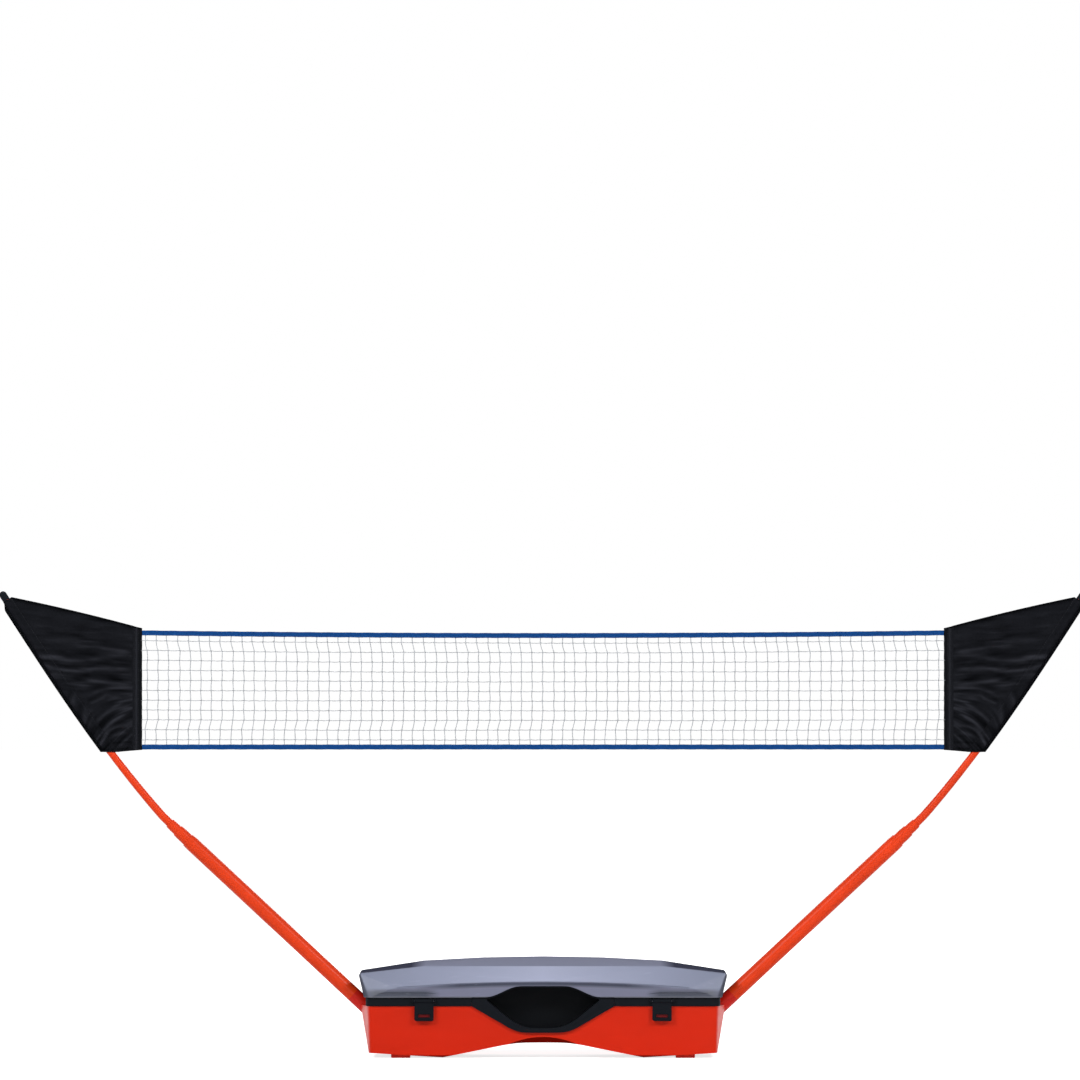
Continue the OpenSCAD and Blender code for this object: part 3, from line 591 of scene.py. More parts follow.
def thicken(obj, thickness, offset=0.0):
    modifier = obj.modifiers.new("cloth", "SOLIDIFY")
    modifier.thickness = thickness
    modifier.offset = offset


def field(points, scale=1.0):
    """Smooth noise from -1 to 1 at rows of 3-D points."""
    points = np.asarray(points, float)
    flat = points.reshape(-1, 3) * scale
    return np.array([noise.noise(Vector(p)) for p in flat]).reshape(points.shape[:-1])


STITCH_LENGTH = 0.0036
STITCH_PITCH = 0.0054
STITCH_RADIUS = 0.00042
STITCH_TAPER = 0.45
STITCH_LIFT = 0.5
STITCH_SIDES = 5


def add_stitches(shape, start, stop, face):
    """A row of stitches from start to stop, lying on a surface that faces along face."""
    start, stop, face = (np.asarray(a, float) for a in (start, stop, face))
    run = stop - start
    span = np.linalg.norm(run)
    along = run / span
    side = np.cross(along, face)
    reach = along * STITCH_LENGTH / 2
    radii = [STITCH_RADIUS * STITCH_TAPER, STITCH_RADIUS, STITCH_RADIUS * STITCH_TAPER]
    for k in range(int(span / STITCH_PITCH)):
        middle = start + along * (k + 0.5) * STITCH_PITCH
        ends = [middle - reach, middle + face * STITCH_RADIUS * STITCH_LIFT, middle + reach]
        shape.tube(sweep(ends, radii, side, face, STITCH_SIDES))


# Net


net_low, net_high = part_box("net_mesh")
NET_HALF = net_high.x
NET_LOW_Z = net_low.z
NET_TOP_Z = net_high.z
TAPE_HEIGHT = NET_LOW_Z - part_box("bottom_tape")[0].z

# Waves along the net: radians per metre, start, height
SWAY_WAVES = ((2.3, 0.7, 0.0022), (5.1, 2.0, 0.0009))
BELLY_WAVE = (3.4, -0.4, 0.003)
STRAND_WAVE = (7.0, 0.0005)
SWAY_FADE = 0.25

# Where the strands lean, in rows from the top and from the bottom; at the net's ends they do not
LEAN_TOP = 1.2
LEAN_LOW = (3.2, 1.4)
LEAN_END = 0.03
LEAN_FADE = 0.02


def net_top(x):
    return NET_TOP_Z - NET_SAG * (1.0 - (np.asarray(x) / NET_HALF) ** 2)


def net_bottom(x):
    return NET_LOW_Z + 0.0 * np.asarray(x)


def sway(x, rise):
    """How far the net stands out of its plane; rise goes from 0 at the bottom tape to 1 at the top."""
    x = np.asarray(x)
    ends = smooth((NET_HALF - np.abs(x)) / SWAY_FADE)
    slow = sum(np.sin(turn * x + start) * height for turn, start, height in SWAY_WAVES)
    turn, start, height = BELLY_WAVE
    belly = np.sin(np.pi * np.clip(rise, 0.0, 1.0)) * height * np.sin(turn * x + start)
    return ends * (slow + belly)


def lean(row):
    """How far the upright strands lean at a strand row, counted from the top."""
    near_top = 1.0 - smooth(row / LEAN_TOP)
    near_low = smooth((row - (STRANDS - LEAN_LOW[0])) / LEAN_LOW[1])
    return -SLANT * np.maximum(near_top, near_low)


def knot_radius(step, pitch):
    """Cord radius along a strand: thicker where it is knotted, every pitch."""
    away = np.abs((step / pitch + 0.5) % 1.0 - 0.5) * pitch
    return CORD_RADIUS * (1.0 + KNOT_SWELL * bell(away, KNOT_REACH))


def knot_stations(count, pitch, beyond):
    """Stations along a strand with count knots, close together at each; it runs on beyond both ends."""
    near = [k * KNOT_STEP for k in (-2, -1, 0, 1, 2)] + [pitch / 2]
    steps = [k * pitch + d for k in range(count) for d in near][:-1]
    last = (count - 1) * pitch
    return np.array([-beyond, -beyond / 2] + steps + [last + beyond / 2, last + beyond])


def make_net():
    chance = random.Random(4)
    shape = Shape()
    pitch_x = 2.0 * NET_HALF / COLUMNS
    for column in range(COLUMNS):
        x0 = -NET_HALF + (column + 0.5) * pitch_x + chance.uniform(-STRAY, STRAY)
        height = float(net_top(x0)) - NET_LOW_Z
        pitch_z = height / STRANDS
        step = knot_stations(STRANDS, pitch_z, pitch_z / 2 + TAPE_TUCK)
        z = NET_LOW_Z + pitch_z / 2 + step
        row = STRANDS - 1 - step / pitch_z
        loose = SLACK * np.sin(np.pi * step / pitch_z + chance.uniform(0.0, math.tau))
        x = x0 + lean(row) + loose
        y = sway(x, (z - NET_LOW_Z) / height) + CROSSING
        path = np.stack([x, y, z], 1)
        shape.tube(sweep(path, knot_radius(step, pitch_z), (1, 0, 0), (0, 1, 0)))
    step = knot_stations(COLUMNS, pitch_x, pitch_x / 2 + HEM_REACH)
    turn, wander = STRAND_WAVE
    for strand in range(STRANDS):
        share = (strand + 0.5) / STRANDS
        row = STRANDS - 1 - strand
        x = -NET_HALF + pitch_x / 2 + step
        x = x + float(lean(row)) * smooth((NET_HALF - LEAN_END - np.abs(x)) / LEAN_FADE)
        z = mix(NET_LOW_Z, net_top(x), share)
        z = z - MESH_SAG * np.abs(np.sin(np.pi * step / pitch_x)) + wander * np.sin(turn * x + strand)
        y = sway(x, share) - CROSSING
        path = np.stack([x, y, z], 1)
        shape.tube(sweep(path, knot_radius(step, pitch_x), (0, 1, 0), (0, 0, 1)))
    net = shape.make("net_cords", "twine")
    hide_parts("net_mesh")
    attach(net, "net")
    return net


# Tapes: steps along and round the fold, and the seam near the open edge that draws the tape in
TAPE_STEPS = 420
FOLD_STEPS = 9
LEG_STEPS = 6
TAPE_SEAM = 0.0022
TAPE_PINCH = 0.28
PINCH_REACH = 0.0014
SEAM_MARKS = 60
SEAM_MARGIN = 0.002

# Unevenness along a tape: length, start and height of puckers; radians per metre and share of fullness
PUCKERS = ((0.0108, 0.0, 0.00012), (0.047, 1.0, 0.00018))
FULLNESS = (160.0, 0.12)


def make_tape(name, node, line, up):
    """Tape folded over the net's edge cord; line gives its open edge at x, up is 1 or -1."""
    low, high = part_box(node)
    half = (high.y - low.y) / 2 - CLOTH_THICKNESS / 2
    x = np.linspace(low.x, high.x, TAPE_STEPS)
    turn = np.linspace(0.0, np.pi, FOLD_STEPS)
    legs = np.linspace(0.0, TAPE_HEIGHT - half, LEG_STEPS)[:-1]
    profile_y = np.concatenate([-half + 0 * legs, -half * np.cos(turn), half + 0 * legs[::-1]])
    profile_z = np.concatenate([legs, TAPE_HEIGHT - half + half * np.sin(turn), legs[::-1]])
    pinch = 1.0 - TAPE_PINCH * bell(profile_z - TAPE_SEAM, PINCH_REACH)
    pucker = sum(height * np.sin(x * math.tau / length + start) for length, start, height in PUCKERS)
    full = 1.0 + FULLNESS[1] * np.sin(x * FULLNESS[0])
    rise = 1.0 if up > 0 else 0.0
    y = sway(x, rise)[:, None] + (profile_y * pinch)[None, :] * full[:, None]
    z = line(x)[:, None] + up * profile_z[None, :] + pucker[:, None]
    grid = np.stack([np.broadcast_to(x[:, None], y.shape), y, z], 2)
    shape = Shape()
    shape.rows(grid)
    tape = shape.make(name, "tape")
    thicken(tape, CLOTH_THICKNESS)
    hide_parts(node)
    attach(tape, "net")
    return tape, half


def make_tape_stitches(name, node, line, up, half):
    low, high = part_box(node)
    shape = Shape()
    marks = np.linspace(low.x + SEAM_MARGIN, high.x - SEAM_MARGIN, SEAM_MARKS)
    rise = 1.0 if up > 0 else 0.0
    for a, b in zip(marks[:-1], marks[1:]):
        for face in (-1.0, 1.0):
            out = face * (half * (1.0 - TAPE_PINCH) + CLOTH_THICKNESS / 2)
            start, stop = ((x, float(sway(x, rise)) + out, float(line(x)) + up * TAPE_SEAM)
                           for x in (a, b))
            add_stitches(shape, start, stop, (0.0, face, 0.0))
    stitches = shape.make(name, "blue_stitch")
    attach(stitches, "net")
    return stitches


def make_tapes(net):
    for node, line, up in (("top_tape", net_top, 1), ("bottom_tape", net_bottom, -1)):
        tape, half = make_tape(f"{node}_binding", node, line, up)
        stitches = make_tape_stitches(f"{node}_stitches", node, line, up, half)


# Top rods, in a plane: distance out from the middle of the set, and height


def rod_direction(s):
    s = np.asarray(s, float)
    share = np.clip(s / ROD_LENGTH, 0.0, 1.0)
    kink = (1.0 - np.cos(np.pi * np.clip(s / KINK_LENGTH, 0.0, 1.0))) / 2
    return np.radians(POLE_ANGLE + ROD_KINK * kink + ROD_BEND * (2.0 * share - share * share))


ROD_STATIONS = np.linspace(0.0, ROD_LENGTH, ROD_STEPS + 1)
ROD_PIECES = np.diff(ROD_STATIONS)
ROD_TURNS = rod_direction((ROD_STATIONS[1:] + ROD_STATIONS[:-1]) / 2)
ROD_RUN = np.concatenate([[0.0], np.cumsum(ROD_PIECES * np.cos(ROD_TURNS))])
ROD_RISE = np.concatenate([[0.0], np.cumsum(ROD_PIECES * np.sin(ROD_TURNS))])
HEM_IN = NET_HALF
HEM_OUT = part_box("right_hem")[1].x
HEM_LOW_Z = NET_LOW_Z - TAPE_HEIGHT - HEM_UNDER
HEM_TOP_Z = NET_TOP_Z + TAPE_HEIGHT + HEM_OVER
ROOT_OUT = HEM_OUT + PANEL_LOW_WIDTH - float(np.interp(SLEEVE_SPAN[0], ROD_STATIONS, ROD_RUN))
ROOT_UP = POLE_FOOT[1] + (ROOT_OUT - POLE_FOOT[0]) * math.tan(math.radians(POLE_ANGLE))


def rod_at(s):
    out = ROOT_OUT + np.interp(s, ROD_STATIONS, ROD_RUN)
    up = ROOT_UP + np.interp(s, ROD_STATIONS, ROD_RISE)
    return np.stack([out, up], -1)


def rod_inward(s):
    """Direction from the rod towards the net, square to the rod."""
    a = rod_direction(s)
    return np.stack([-np.sin(a), np.cos(a)], -1)


def rod_along(s):
    a = rod_direction(s)
    return np.stack([np.cos(a), np.sin(a)], -1)


def rod_radius(s):
    return mix(ROD_RADIUS[0], ROD_RADIUS[1], np.asarray(s, float) / ROD_LENGTH)


def placed(flat, depth, side):
    """Points in the plane of the poles as 3-D points; side is -1 for left."""
    return np.stack([side * flat[..., 0], depth, flat[..., 1]], -1)


# End panels


# Sleeve: its seam beside the panel, the flat binding outside and where it is cut level at its lower end
SEAM = 0.0062
SEAM_SHARP = 7
SEAM_FLAT = 0.35
SEAM_MIDDLE = 0.55
SEAM_STITCHED = 0.62
BINDING = 0.0085
BINDING_LEAST = 0.0008
BINDING_RUN = 0.022
BINDING_STITCHED = 0.35
BINDING_PLACES = np.array([0.12, 0.3, 0.5, 0.7, 0.88, 1.0])
BINDING_HALVES = np.array([1.5, 1.2, 1.1, 1.1, 1.2, 0.5]) * 0.001
BINDING_TURN = 0.003
ARC_END = math.radians(165.0)
ARC_STEPS = 45
SLEEVE_STEPS = 190
LEVEL_RUN = 0.040
SLEEVE_MARGINS = (0.018, 0.003)
SLEEVE_MARKS = 26
STITCH_DEPTHS = (0.0021, 0.0013)

# Unevenness of sleeve: height, and waves or noise along and round it
CRUMPLE = (0.0006, 60.0, 1.4)
CRUMPLE_APART = 9.0
GATHER = (0.0002, 290.0, 41.0)
RIPPLE = (0.0005, 170.0, 33.0)

# Fold tone of plain cloth, bound edges and piping, below 0 painted shade and above 0 painted highlight,
# and radius of piping
SLEEVE_FOLD = 0.8
BOUND_FOLD = -0.9
PIPING_FOLD = -0.8
PIPING = 0.0019
PIPING_SIDES = 10
TOP_SWELL = 0.0025


def binding_width(s):
    return np.maximum(BINDING * smooth((SLEEVE_SPAN[1] - s) / BINDING_RUN), BINDING_LEAST)


def sleeve_section(s, side):
    """Distance towards the net and depth, round the sleeve at each s: seam, channel and flat binding."""
    turn = np.linspace(-ARC_END, ARC_END, ARC_STEPS)
    near = np.maximum(np.cos(turn), 0.0)
    radius = (rod_radius(s) + SLEEVE_GAP)[:, None]
    height, along, around = CRUMPLE
    place = np.broadcast_arrays(s[:, None] * along, np.cos(turn)[None] * around,
                                np.sin(turn)[None] * around + CRUMPLE_APART * side)
    crumple = height * field(np.stack(place, -1))
    height, wave, drift = GATHER
    swell = crumple + height * (uneven(s, wave, drift, amount=3.0)[:, None] * near[None] ** 2)
    arc_inward = (radius + SEAM * near ** SEAM_SHARP + swell) * np.cos(turn)
    arc_depth = (radius + swell) * np.sin(turn) * (1.0 - SEAM_FLAT * near ** 3)
    places = np.concatenate([BINDING_PLACES, BINDING_PLACES[::-1]])
    halves = np.concatenate([BINDING_HALVES, -BINDING_HALVES[::-1]])
    height, wave, drift = RIPPLE
    edge_inward = -radius - binding_width(s)[:, None] * places
    edge_depth = halves + height * uneven(s, wave, drift)[:, None] * places
    return np.concatenate([arc_inward, edge_inward], 1), np.concatenate([arc_depth, edge_depth], 1)


def make_sleeve(label, side):
    """Cloth folded round the rod, sewn down on the side of the net and bound along its outer side."""
    s = np.linspace(*SLEEVE_SPAN, SLEEVE_STEPS)
    inward, depth = sleeve_section(s, side)
    level = 1.0 - smooth((s - SLEEVE_SPAN[0]) / LEVEL_RUN)
    shift = -inward * (level / np.tan(rod_direction(s)))[:, None]
    moved = inward[..., None] * rod_inward(s)[:, None] + shift[..., None] * rod_along(s)[:, None]
    flat = rod_at(s)[:, None] + moved
    grid = placed(flat, depth, side)
    # Painted shade and highlight of the sleeve's folds, and the dark fold tone on the binding
    bound = smooth((-inward - rod_radius(s)[:, None]) / BINDING_TURN)
    fold = np.clip(mix(SLEEVE_FOLD * cloth_fold(flat), BOUND_FOLD, bound), -1.0, 1.0)
    order = slice(None) if side > 0 else slice(None, None, -1)
    shape = Shape()
    shape.rows(grid[:, order], True, fold[:, order])
    sleeve = shape.make(f"{label}_sleeve_cloth", "cloth")
    thicken(sleeve, CLOTH_THICKNESS / 2, -1.0)
    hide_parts(f"{label}_sleeve")
    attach(sleeve, f"{label}_top")
    return sleeve


def make_sleeve_stitches(label, side):
    """Stitches along the seam beside the panel and along the binding."""
    shape = Shape()
    low, high = SLEEVE_SPAN
    marks = np.linspace(low + SLEEVE_MARGINS[0], high - SLEEVE_MARGINS[1], SLEEVE_MARKS)
    radius = rod_radius(marks) + SLEEVE_GAP
    lines = radius + SEAM * SEAM_STITCHED, -radius - binding_width(marks) * BINDING_STITCHED
    for reach, depth in zip(lines, STITCH_DEPTHS):
        flat = rod_at(marks) + reach[:, None] * rod_inward(marks)
        for face in (-1.0, 1.0):
            line = placed(flat, np.full(len(marks), face * depth), side)
            for a, b in zip(line[:-1], line[1:]):
                add_stitches(shape, a, b, (0.0, face, 0.0))
    stitches = shape.make(f"{label}_sleeve_stitches", "stitch")
    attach(stitches, f"{label}_top")
    return stitches


# Creases in the cloth: both ends (distance out, height), height and width, in metres; the bend lifts
# the middle of the line
CREASES = (
    ((1.078, 0.738), (1.006, 0.821), 0.0050, 0.0062, 0.010),
    ((1.086, 0.741), (1.067, 0.786), 0.0042, 0.0050, 0.002),
    ((1.064, 0.727), (1.046, 0.760), 0.0030, 0.0050, 0.004),
    ((1.072, 0.706), (1.004, 0.726), 0.0044, 0.0060, 0.003),
    ((1.060, 0.752), (1.012, 0.792), 0.0036, 0.0052, 0.008),
    ((1.086, 0.846), (1.054, 0.860), 0.0036, 0.0045, 0.000),
    ((1.072, 0.800), (1.018, 0.840), 0.0034, 0.0060, 0.004),
    ((1.104, 0.788), (1.098, 0.842), 0.0030, 0.0060, 0.000),
    ((1.140, 0.822), (1.122, 0.872), 0.0030, 0.0060, 0.000),
    ((1.078, 0.872), (1.004, 0.884), 0.0034, 0.0055, 0.003),
    ((1.104, 0.905), (1.010, 0.893), 0.0036, 0.0060, -0.002),
    ((1.092, 0.925), (1.036, 0.932), 0.0030, 0.0055, 0.002),
    ((1.190, 0.930), (1.110, 0.918), 0.0030, 0.0060, 0.000),
    ((1.150, 0.948), (1.070, 0.950), 0.0028, 0.0060, 0.000),
    ((1.210, 0.962), (1.150, 0.956), 0.0026, 0.0060, 0.000),
    ((1.060, 0.978), (0.998, 0.970), 0.0026, 0.0060, 0.000),
    ((1.190, 1.000), (1.110, 0.992), 0.0022, 0.0070, 0.000),
    ((1.040, 0.764), (1.000, 0.776), 0.0028, 0.0050, 0.002),
)
CREASE_HOLLOW = (0.7, 1.8, 1.2)
CREASE_FADE = (0.25, 0.4)
# Painted shade and highlight from creases and wrinkles: their strength, a slight painted shade on plain
# cloth, and the crease height that gives the full tone
CREASE_FOLD = 0.8
STREAK_FOLD = 1.1
PLAIN_FOLD = -0.12
FOLD_HEIGHT = 0.004

# Fine wrinkles: height, slope at the corner and higher up, how far up they fan, cells per metre across,
# along and between them, the patches they come in and the calmer cloth above
STREAK_HEIGHT = 0.0012
STREAK_SLOPE = (1.15, -0.06)
STREAK_REACH = 0.17
STREAK_CELLS = (118.0, 17.0, 9.0)
STREAK_FINER = (2.1, 1.7, 1.0)
STREAK_APART = 5.0
STREAK_HALF = 0.5
STREAK_GAIN = 1.5
PATCH_CELLS = 13.0
PATCH_SLICE = 3.7
PATCH_LEVEL = (0.55, 0.9, 0.15)
CALM = (0.65, 0.20, 0.12)

# Panel between its seams: broad swells (cells per metre, height), puckers at both seams (reach, height,
# waves), two lines above its lower edge with painted shade below them, painted shade along its upper
# edge, and where it is held or less free
PANEL_STEPS = (111, 131)
PANEL_SEED = 11
PANEL_SLICE = 0.31 * PANEL_SEED
SWELLS = ((11.0, 0.0030), (34.0, 0.0012))
HEM_PUCKER = (0.016, 0.0009, 330.0, 61.0)
SLEEVE_PUCKER = (0.07, 0.0010, 160.0, 27.0)
HEM_LINES = (0.024, 0.009)
LINE_RELIEF = (0.0009, 0.0024)
LINE_SHADE = (0.5, 0.003, 0.0022)
TOP_SHADE = (0.7, 0.008)
HELD_BY_SLEEVE = 0.05
HELD_BY_HEM = 0.014
FREE_LOW = (0.45, 0.06)
FREE_TOP = (0.2, 0.07)
PIPING_WAVE = (0.00012, 1.9)


def crease(t):
    """Cross-section of a crease: a crisp ridge with a soft hollow beside it."""
    depth, away, reach = CREASE_HOLLOW
    return bell(t, 1.0) - depth * bell(t + away, reach)


def seam_reach(s):
    """Distance from the rod's middle to the seam."""
    return rod_radius(s) + SLEEVE_GAP + SEAM * SEAM_MIDDLE


def panel_edge(v):
    """Line along the sleeve, from the panel's lower edge to its upper."""
    low, high = SLEEVE_SPAN
    low = low + PANEL_INSET - seam_reach(low) / math.tan(rod_direction(low))
    s = mix(low, high - PANEL_INSET, v)
    return rod_at(s) + seam_reach(s)[..., None] * rod_inward(s)


PANEL_ENDS = panel_edge(np.array([0.0, 1.0]))


def cloth_low(x):
    """Height of the lower edge of panel and hem, a straight line to the hem's inner corner."""
    return np.interp(x, (HEM_IN, PANEL_ENDS[0][0]), (HEM_LOW_Z, PANEL_ENDS[0][1]))


def arch(share):
    """0 at both ends and 1 in the middle."""
    return 4.0 * share * (1.0 - share)


def cloth_top(x):
    """Height of their upper edge, which rises a little above a straight line beyond the hem."""
    share = np.clip((np.asarray(x) - HEM_OUT) / (PANEL_ENDS[1][0] - HEM_OUT), 0.0, 1.0)
    line = np.interp(x, (HEM_IN, PANEL_ENDS[1][0]), (HEM_TOP_Z, PANEL_ENDS[1][1]))
    return line + TOP_SWELL * arch(share)


def panel_flat(u, v):
    """Place in the plane: u runs from sleeve to hem, v from the lower edge to the upper."""
    x = HEM_OUT - HEM_TUCK
    inner = np.stack([np.full(v.shape, x), mix(float(cloth_low(x)), float(cloth_top(x)), v)], -1)
    flat = mix(panel_edge(v), inner, u[..., None])
    swell = TOP_SWELL * arch(u) * v ** 3
    return flat + np.stack([np.zeros(v.shape), swell], -1)


def drawn_creases(flat):
    """Height of the drawn creases at places in the plane."""
    height = np.zeros(flat.shape[:-1])
    beyond, fade = CREASE_FADE
    for start, stop, rise, width, bend in CREASES:
        start, stop = np.array(start), np.array(stop)
        run = stop - start
        span = np.hypot(*run)
        along = run / span
        beside = np.array([-along[1], along[0]])
        away = flat - start
        share = away @ along / span
        across = away @ beside + bend * arch(share)
        length = smooth((share + beyond) / fade) * smooth((1.0 + beyond - share) / fade)
        height += rise * length * crease(across / width)
    return height


def streaks(flat):
    """Fine wrinkles from -1 to 1: they fan out of the panel's lower corner and lie level higher up."""
    inward = PANEL_ENDS[0][0] - flat[..., 0]
    rise = flat[..., 1] - PANEL_ENDS[0][1]
    line = flat[..., 1] - mix(*STREAK_SLOPE, smooth(rise / STREAK_REACH)) * inward
    across, along, between = STREAK_CELLS
    place = np.stack([line * across, inward * along, line * between], -1)
    fine = field(place) + STREAK_HALF * field(place * np.array(STREAK_FINER) + STREAK_APART)
    level, change, least = PATCH_LEVEL
    place = np.stack([inward, rise, np.full(rise.shape, PATCH_SLICE)], -1)
    patch = level + change * field(place, PATCH_CELLS)
    less, start, run = CALM
    calm = 1.0 - less * smooth((rise - start) / run)
    return np.clip(fine * STREAK_GAIN, -1.0, 1.0) * np.clip(patch, least, 1.0) * calm


def cloth_fold(flat):
    """How much the cloth lies in a hollow (down to -1) or on a ridge (up to 1), for its painted shade
    and painted highlight.
    """
    return CREASE_FOLD * drawn_creases(flat) / FOLD_HEIGHT + STREAK_FOLD * streaks(flat) + PLAIN_FOLD


def panel_shape(flat, u, v):
    """How far the cloth stands out of the plane (creases, swells and seam puckers), and its fold tone:
    painted shade in hollows, below the sewn lines and along the upper edge, painted highlight on ridges.
    """
    x, z = flat[..., 0], flat[..., 1]
    depth = -drawn_creases(flat) - STREAK_HEIGHT * streaks(flat)
    fold = cloth_fold(flat)
    place = np.stack([x, z, np.full(u.shape, PANEL_SLICE)], -1)
    depth += sum(height * field(place, cells) for cells, height in SWELLS)
    for away, t, (reach, height, wave, drift) in ((HEM_OUT - x, z, HEM_PUCKER), (u, v, SLEEVE_PUCKER)):
        depth += bell(away, reach) * height * uneven(t, wave, drift, PANEL_SEED)
    above = z - panel_flat(u, np.zeros(u.shape))[..., 1]
    # Painted shade just below the two sewn lines and along the upper edge
    shade_level, shade_drop, shade_reach = LINE_SHADE
    for line in HEM_LINES:
        depth -= LINE_RELIEF[0] * bell(above - line, LINE_RELIEF[1])
        fold -= shade_level * bell(above - line + shade_drop, shade_reach)
    fold -= TOP_SHADE[0] * bell(panel_flat(u, np.ones(u.shape))[..., 1] - z, TOP_SHADE[1])
    hold = smooth(u / HELD_BY_SLEEVE) * smooth((x - HEM_OUT + HEM_TUCK) / HELD_BY_HEM)
    for edge, (least, reach) in ((v, FREE_LOW), (1.0 - v, FREE_TOP)):
        hold = hold * mix(least, 1.0, smooth(edge / reach))
    return depth * hold, np.clip(fold, -1.0, 1.0)


def make_panel(label, side):
    u, v = np.meshgrid(*(np.linspace(0.0, 1.0, steps) for steps in PANEL_STEPS), indexing="ij")
    flat = panel_flat(u, v)
    depth, fold = panel_shape(flat, u, v)
    grid = placed(flat, depth, side)
    order = slice(None) if side > 0 else slice(None, None, -1)
    shape = Shape()
    shape.rows(grid[:, order], False, fold[:, order])
    edge = grid[1:, -1]
    run = np.gradient(edge, axis=0)
    run = run / np.linalg.norm(run, axis=1)[:, None]
    up = np.cross(run, (0.0, 1.0, 0.0))
    piping = PIPING + PIPING_WAVE[0] * np.sin(np.arange(len(edge)) * PIPING_WAVE[1])
    shape.tube(sweep(edge, piping, (0, 1, 0), up, PIPING_SIDES), PIPING_FOLD)
    panel = shape.make(f"{label}_panel_cloth", "cloth")
    thicken(panel, CLOTH_THICKNESS)
    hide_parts(f"{label}_panel")
    return panel


def blend_panel(panel):
    """Bakes the panel's placement into its mesh; the chord between its sleeve ends is worked out but not
    used.
    """
    ends = panel_flat(np.zeros(2), np.array([0.0, 1.0]))
    chord = ends[1] - ends[0]
    chord = chord / np.linalg.norm(chord)
    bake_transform(panel)


# Hem: its sewn lines and their depth, its thickness at the edges, unevenness, and the tone across it: a
# painted highlight along its ridge and a darker inner half
HEM_STEPS = (120, 30)
HEM_SEWN = (0.26, 0.6)
SEWN_REACH = 0.05
SEWN_DEPTH = 0.0008
HEM_EDGE = 0.62
HEM_ROUND = (0.02, 0.98)
HEM_WOBBLE = (0.0002, 210.0, 37.0)
SEWN_PUCKER = (0.14, 520.0)
HEM_BULGE = (0.0004, 60.0, 34.0)
RIDGE_TONE = (0.5, 0.4, 0.09)
INNER_TONE = (0.45, 0.5, 0.2)
HEM_PIPING_START = 0.003
HEM_PIPING_STEPS = 12
HEM_STITCHED = (0.9, 0.82)
STITCH_SUNK = 0.0007


def make_hem(label, side):
    """Upright hem: doubled cloth round the net's end, two sewn lines and piping on its upper edge."""
    low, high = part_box(f"{label}_hem")
    share, across = (np.linspace(0.0, 1.0, steps) for steps in HEM_STEPS)
    half = (high.y - low.y) / 2
    sewn = sum(bell(across - place, SEWN_REACH) for place in HEM_SEWN)
    full = np.sin(np.pi * np.clip(across, *HEM_ROUND)) ** 0.5
    body = half * mix(HEM_EDGE, 1.0, full) - SEWN_DEPTH * sewn
    line = mix(HEM_OUT, HEM_IN, across)
    z = mix(cloth_low(line)[None, :], cloth_top(line)[None, :], share[:, None])
    x = line[None, :] + HEM_WOBBLE[0] * uneven(z, *HEM_WOBBLE[1:])
    body = body[None, :] * (1.0 + SEWN_PUCKER[0] * np.sin(z * SEWN_PUCKER[1]) * sewn[None, :])
    height, cells_x, cells_z = HEM_BULGE
    bulge = height * field(np.stack(np.broadcast_arrays(x * cells_x, z * cells_z, side), -1))
    front = np.stack([side * x, bulge - body, z], -1)
    back = np.stack([side * x, bulge + body, z], -1)
    rings = np.concatenate([front, back[:, ::-1]], 1)
    # Painted highlight along the ridge between the sewn lines; the inner half darker
    ridge = RIDGE_TONE[0] * bell(across - RIDGE_TONE[1], RIDGE_TONE[2])
    stripe = ridge - INNER_TONE[0] * smooth((across - INNER_TONE[1]) / INNER_TONE[2])
    fold = np.broadcast_to(np.concatenate([stripe, stripe[::-1]]), rings.shape[:2])
    shape = Shape()
    shape.tube(rings if side < 0 else rings[:, ::-1], fold if side < 0 else fold[:, ::-1])
    top = np.linspace(HEM_OUT + HEM_PIPING_START, HEM_IN, HEM_PIPING_STEPS)
    path = placed(np.stack([top, cloth_top(top)], -1), 0.0 * top, side)
    shape.tube(sweep(path, PIPING + 0.0 * top, (0, 1, 0), (0, 0, 1), PIPING_SIDES), PIPING_FOLD)
    hem = shape.make(f"{label}_hem_strip", "cloth")
    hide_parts(f"{label}_hem")
    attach(hem, "net")
    return hem


def make_hem_stitches(label, side):
    low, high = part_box(f"{label}_hem")
    half = (high.y - low.y) / 2
    shape = Shape()
    for share, out in zip(HEM_SEWN, HEM_STITCHED):
        x = mix(HEM_OUT, HEM_IN, share)
        for face in (-1.0, 1.0):
            depth = face * (half * out - STITCH_SUNK)
            start = (side * x, depth, float(cloth_low(x)) + SEAM_MARGIN)
            stop = (side * x, depth, float(cloth_top(x)) - SEAM_MARGIN)
            add_stitches(shape, start, stop, (0.0, face, 0.0))
    stitches = shape.make(f"{label}_hem_stitches", "stitch")
    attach(stitches, "net")
    return stitches


def make_end(label, side):
    sleeve = make_sleeve(label, side)
    sleeve_stitches = make_sleeve_stitches(label, side)
    hem = make_hem(label, side)
    hem_stitches = make_hem_stitches(label, side)
    panel = make_panel(label, side)
    blend_panel(panel)


# Stage


WHITE = (1.0, 1.0, 1.0, 1.0)
FLOOR_SIZE = 90.0
FLOOR_COLOR = (0.86, 0.86, 0.87, 1.0)
FLOOR_NEAR = 0.76
FLOOR_FAR = 0.97
FLOOR_REACH = (0.6, 3.0)
WALLS_LOW = 0.20
WALLS_HIGH = 0.08
WALLS_RISE = 0.8

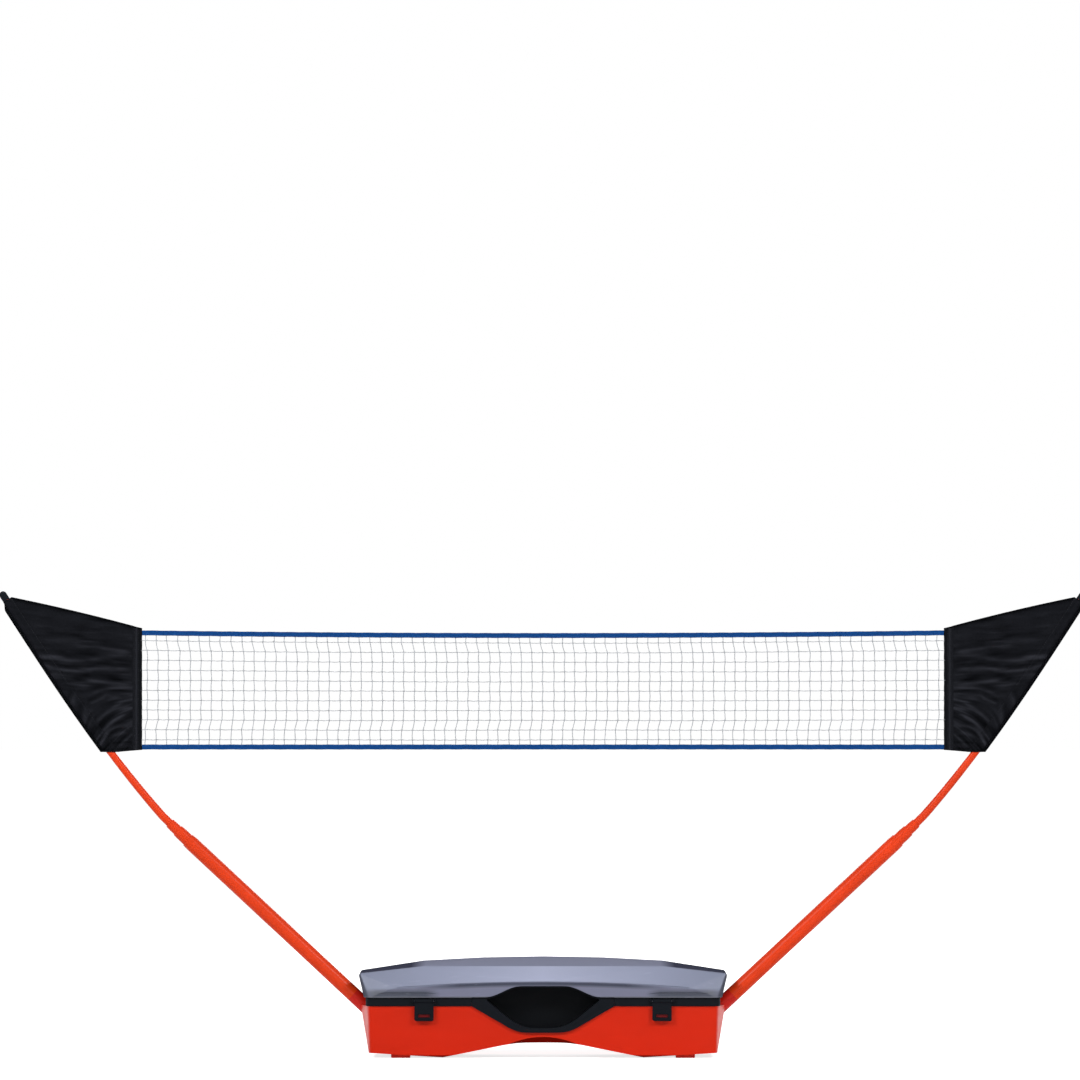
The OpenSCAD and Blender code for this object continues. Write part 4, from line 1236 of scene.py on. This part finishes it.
# Lamps: place, aim, size and power
LAMPS = {
    "key": ((-4.2, -4.6, 4.2), (0.0, 0.0, 0.7), 1.6, 262.0),
    "kicker": ((4.2, -4.6, 4.2), (0.0, 0.0, 0.7), 1.6, 238.0),
    "fill": ((1.2, -8.0, 0.9), (0.0, 0.0, 0.5), 3.0, 60.0),
    "rear": ((0.6, 7.0, 3.6), (0.0, 0.0, 0.5), 4.0, 190.0),
}
CAMERA_PLACE = (-0.0072, -20.0, 1.06)
CAMERA_AIM = (-0.0072, 0.0, 1.238)
FRAME_WIDTH = 2.592
SENSOR = 36.0
CLIP_END = 200.0


def make_floor():
    """Pale floor that reads as white; near the case it is a little darker, so that its shadow shows."""
    bpy.ops.mesh.primitive_plane_add(size=FLOOR_SIZE, location=(0.0, 0.0, 0.0))
    floor = bpy.context.object
    floor.name = "floor"
    look = Look("studio_floor", Base_Color=FLOOR_COLOR, Roughness=0.9, Specular_IOR_Level=0.0)
    away = look.node("ShaderNodeVectorMath", {0: look.place}, operation="LENGTH").outputs["Value"]
    level = look.times(look.seen(), look.remap(away, FLOOR_NEAR, FLOOR_FAR, *FLOOR_REACH))
    glow = look.node("ShaderNodeEmission", {"Color": WHITE, "Strength": level}).outputs["Emission"]
    both = look.node("ShaderNodeAddShader", {0: look.shader.outputs["BSDF"], 1: glow})
    look.give(look.tree.nodes["Material Output"].inputs["Surface"], both.outputs["Shader"])
    floor.data.materials.append(look.material)


def make_world():
    """White where it is seen; as a light it is dim, and dimmer above."""
    world = bpy.data.worlds.new("studio")
    bpy.context.scene.world = world
    world.use_nodes = True
    sky = Nodes(world.node_tree)
    height = sky.parts(sky.node("ShaderNodeTexCoord").outputs["Generated"])["Z"]
    walls = sky.remap(height, WALLS_LOW, WALLS_HIGH, 0.0, WALLS_RISE)
    background = sky.tree.nodes["Background"].inputs
    sky.give(background["Color"], WHITE)
    sky.give(background["Strength"], sky.remap(sky.seen(), walls, 1.0, 0.0, 1.0))


def turned(place, aim):
    """Rotation of a lamp or camera at a place that looks at an aim."""
    return (Vector(aim) - Vector(place)).to_track_quat("-Z", "Y").to_euler()


def make_light(name, place, aim, size, power):
    data = bpy.data.lights.new(name, "AREA")
    data.size = size
    data.energy = power
    light = bpy.data.objects.new(name, data)
    light.location = place
    light.rotation_euler = turned(place, aim)
    bpy.context.scene.collection.objects.link(light)


def make_camera():
    data = bpy.data.cameras.new("camera")
    camera = bpy.data.objects.new("camera", data)
    camera.location = CAMERA_PLACE
    camera.rotation_euler = turned(CAMERA_PLACE, CAMERA_AIM)
    data.sensor_width = SENSOR
    data.lens = data.sensor_width * abs(CAMERA_PLACE[1]) / FRAME_WIDTH
    data.clip_end = CLIP_END
    bpy.context.scene.collection.objects.link(camera)
    bpy.context.scene.camera = camera


bpy.context.scene.view_settings.view_transform = "Standard"
make_camera()
make_world()
for lamp, settings in LAMPS.items():
    make_light(lamp, *settings)
make_floor()
dress_nodes()
for label, side in SIDES.items():
    make_end(label, side)
make_tapes(make_net())
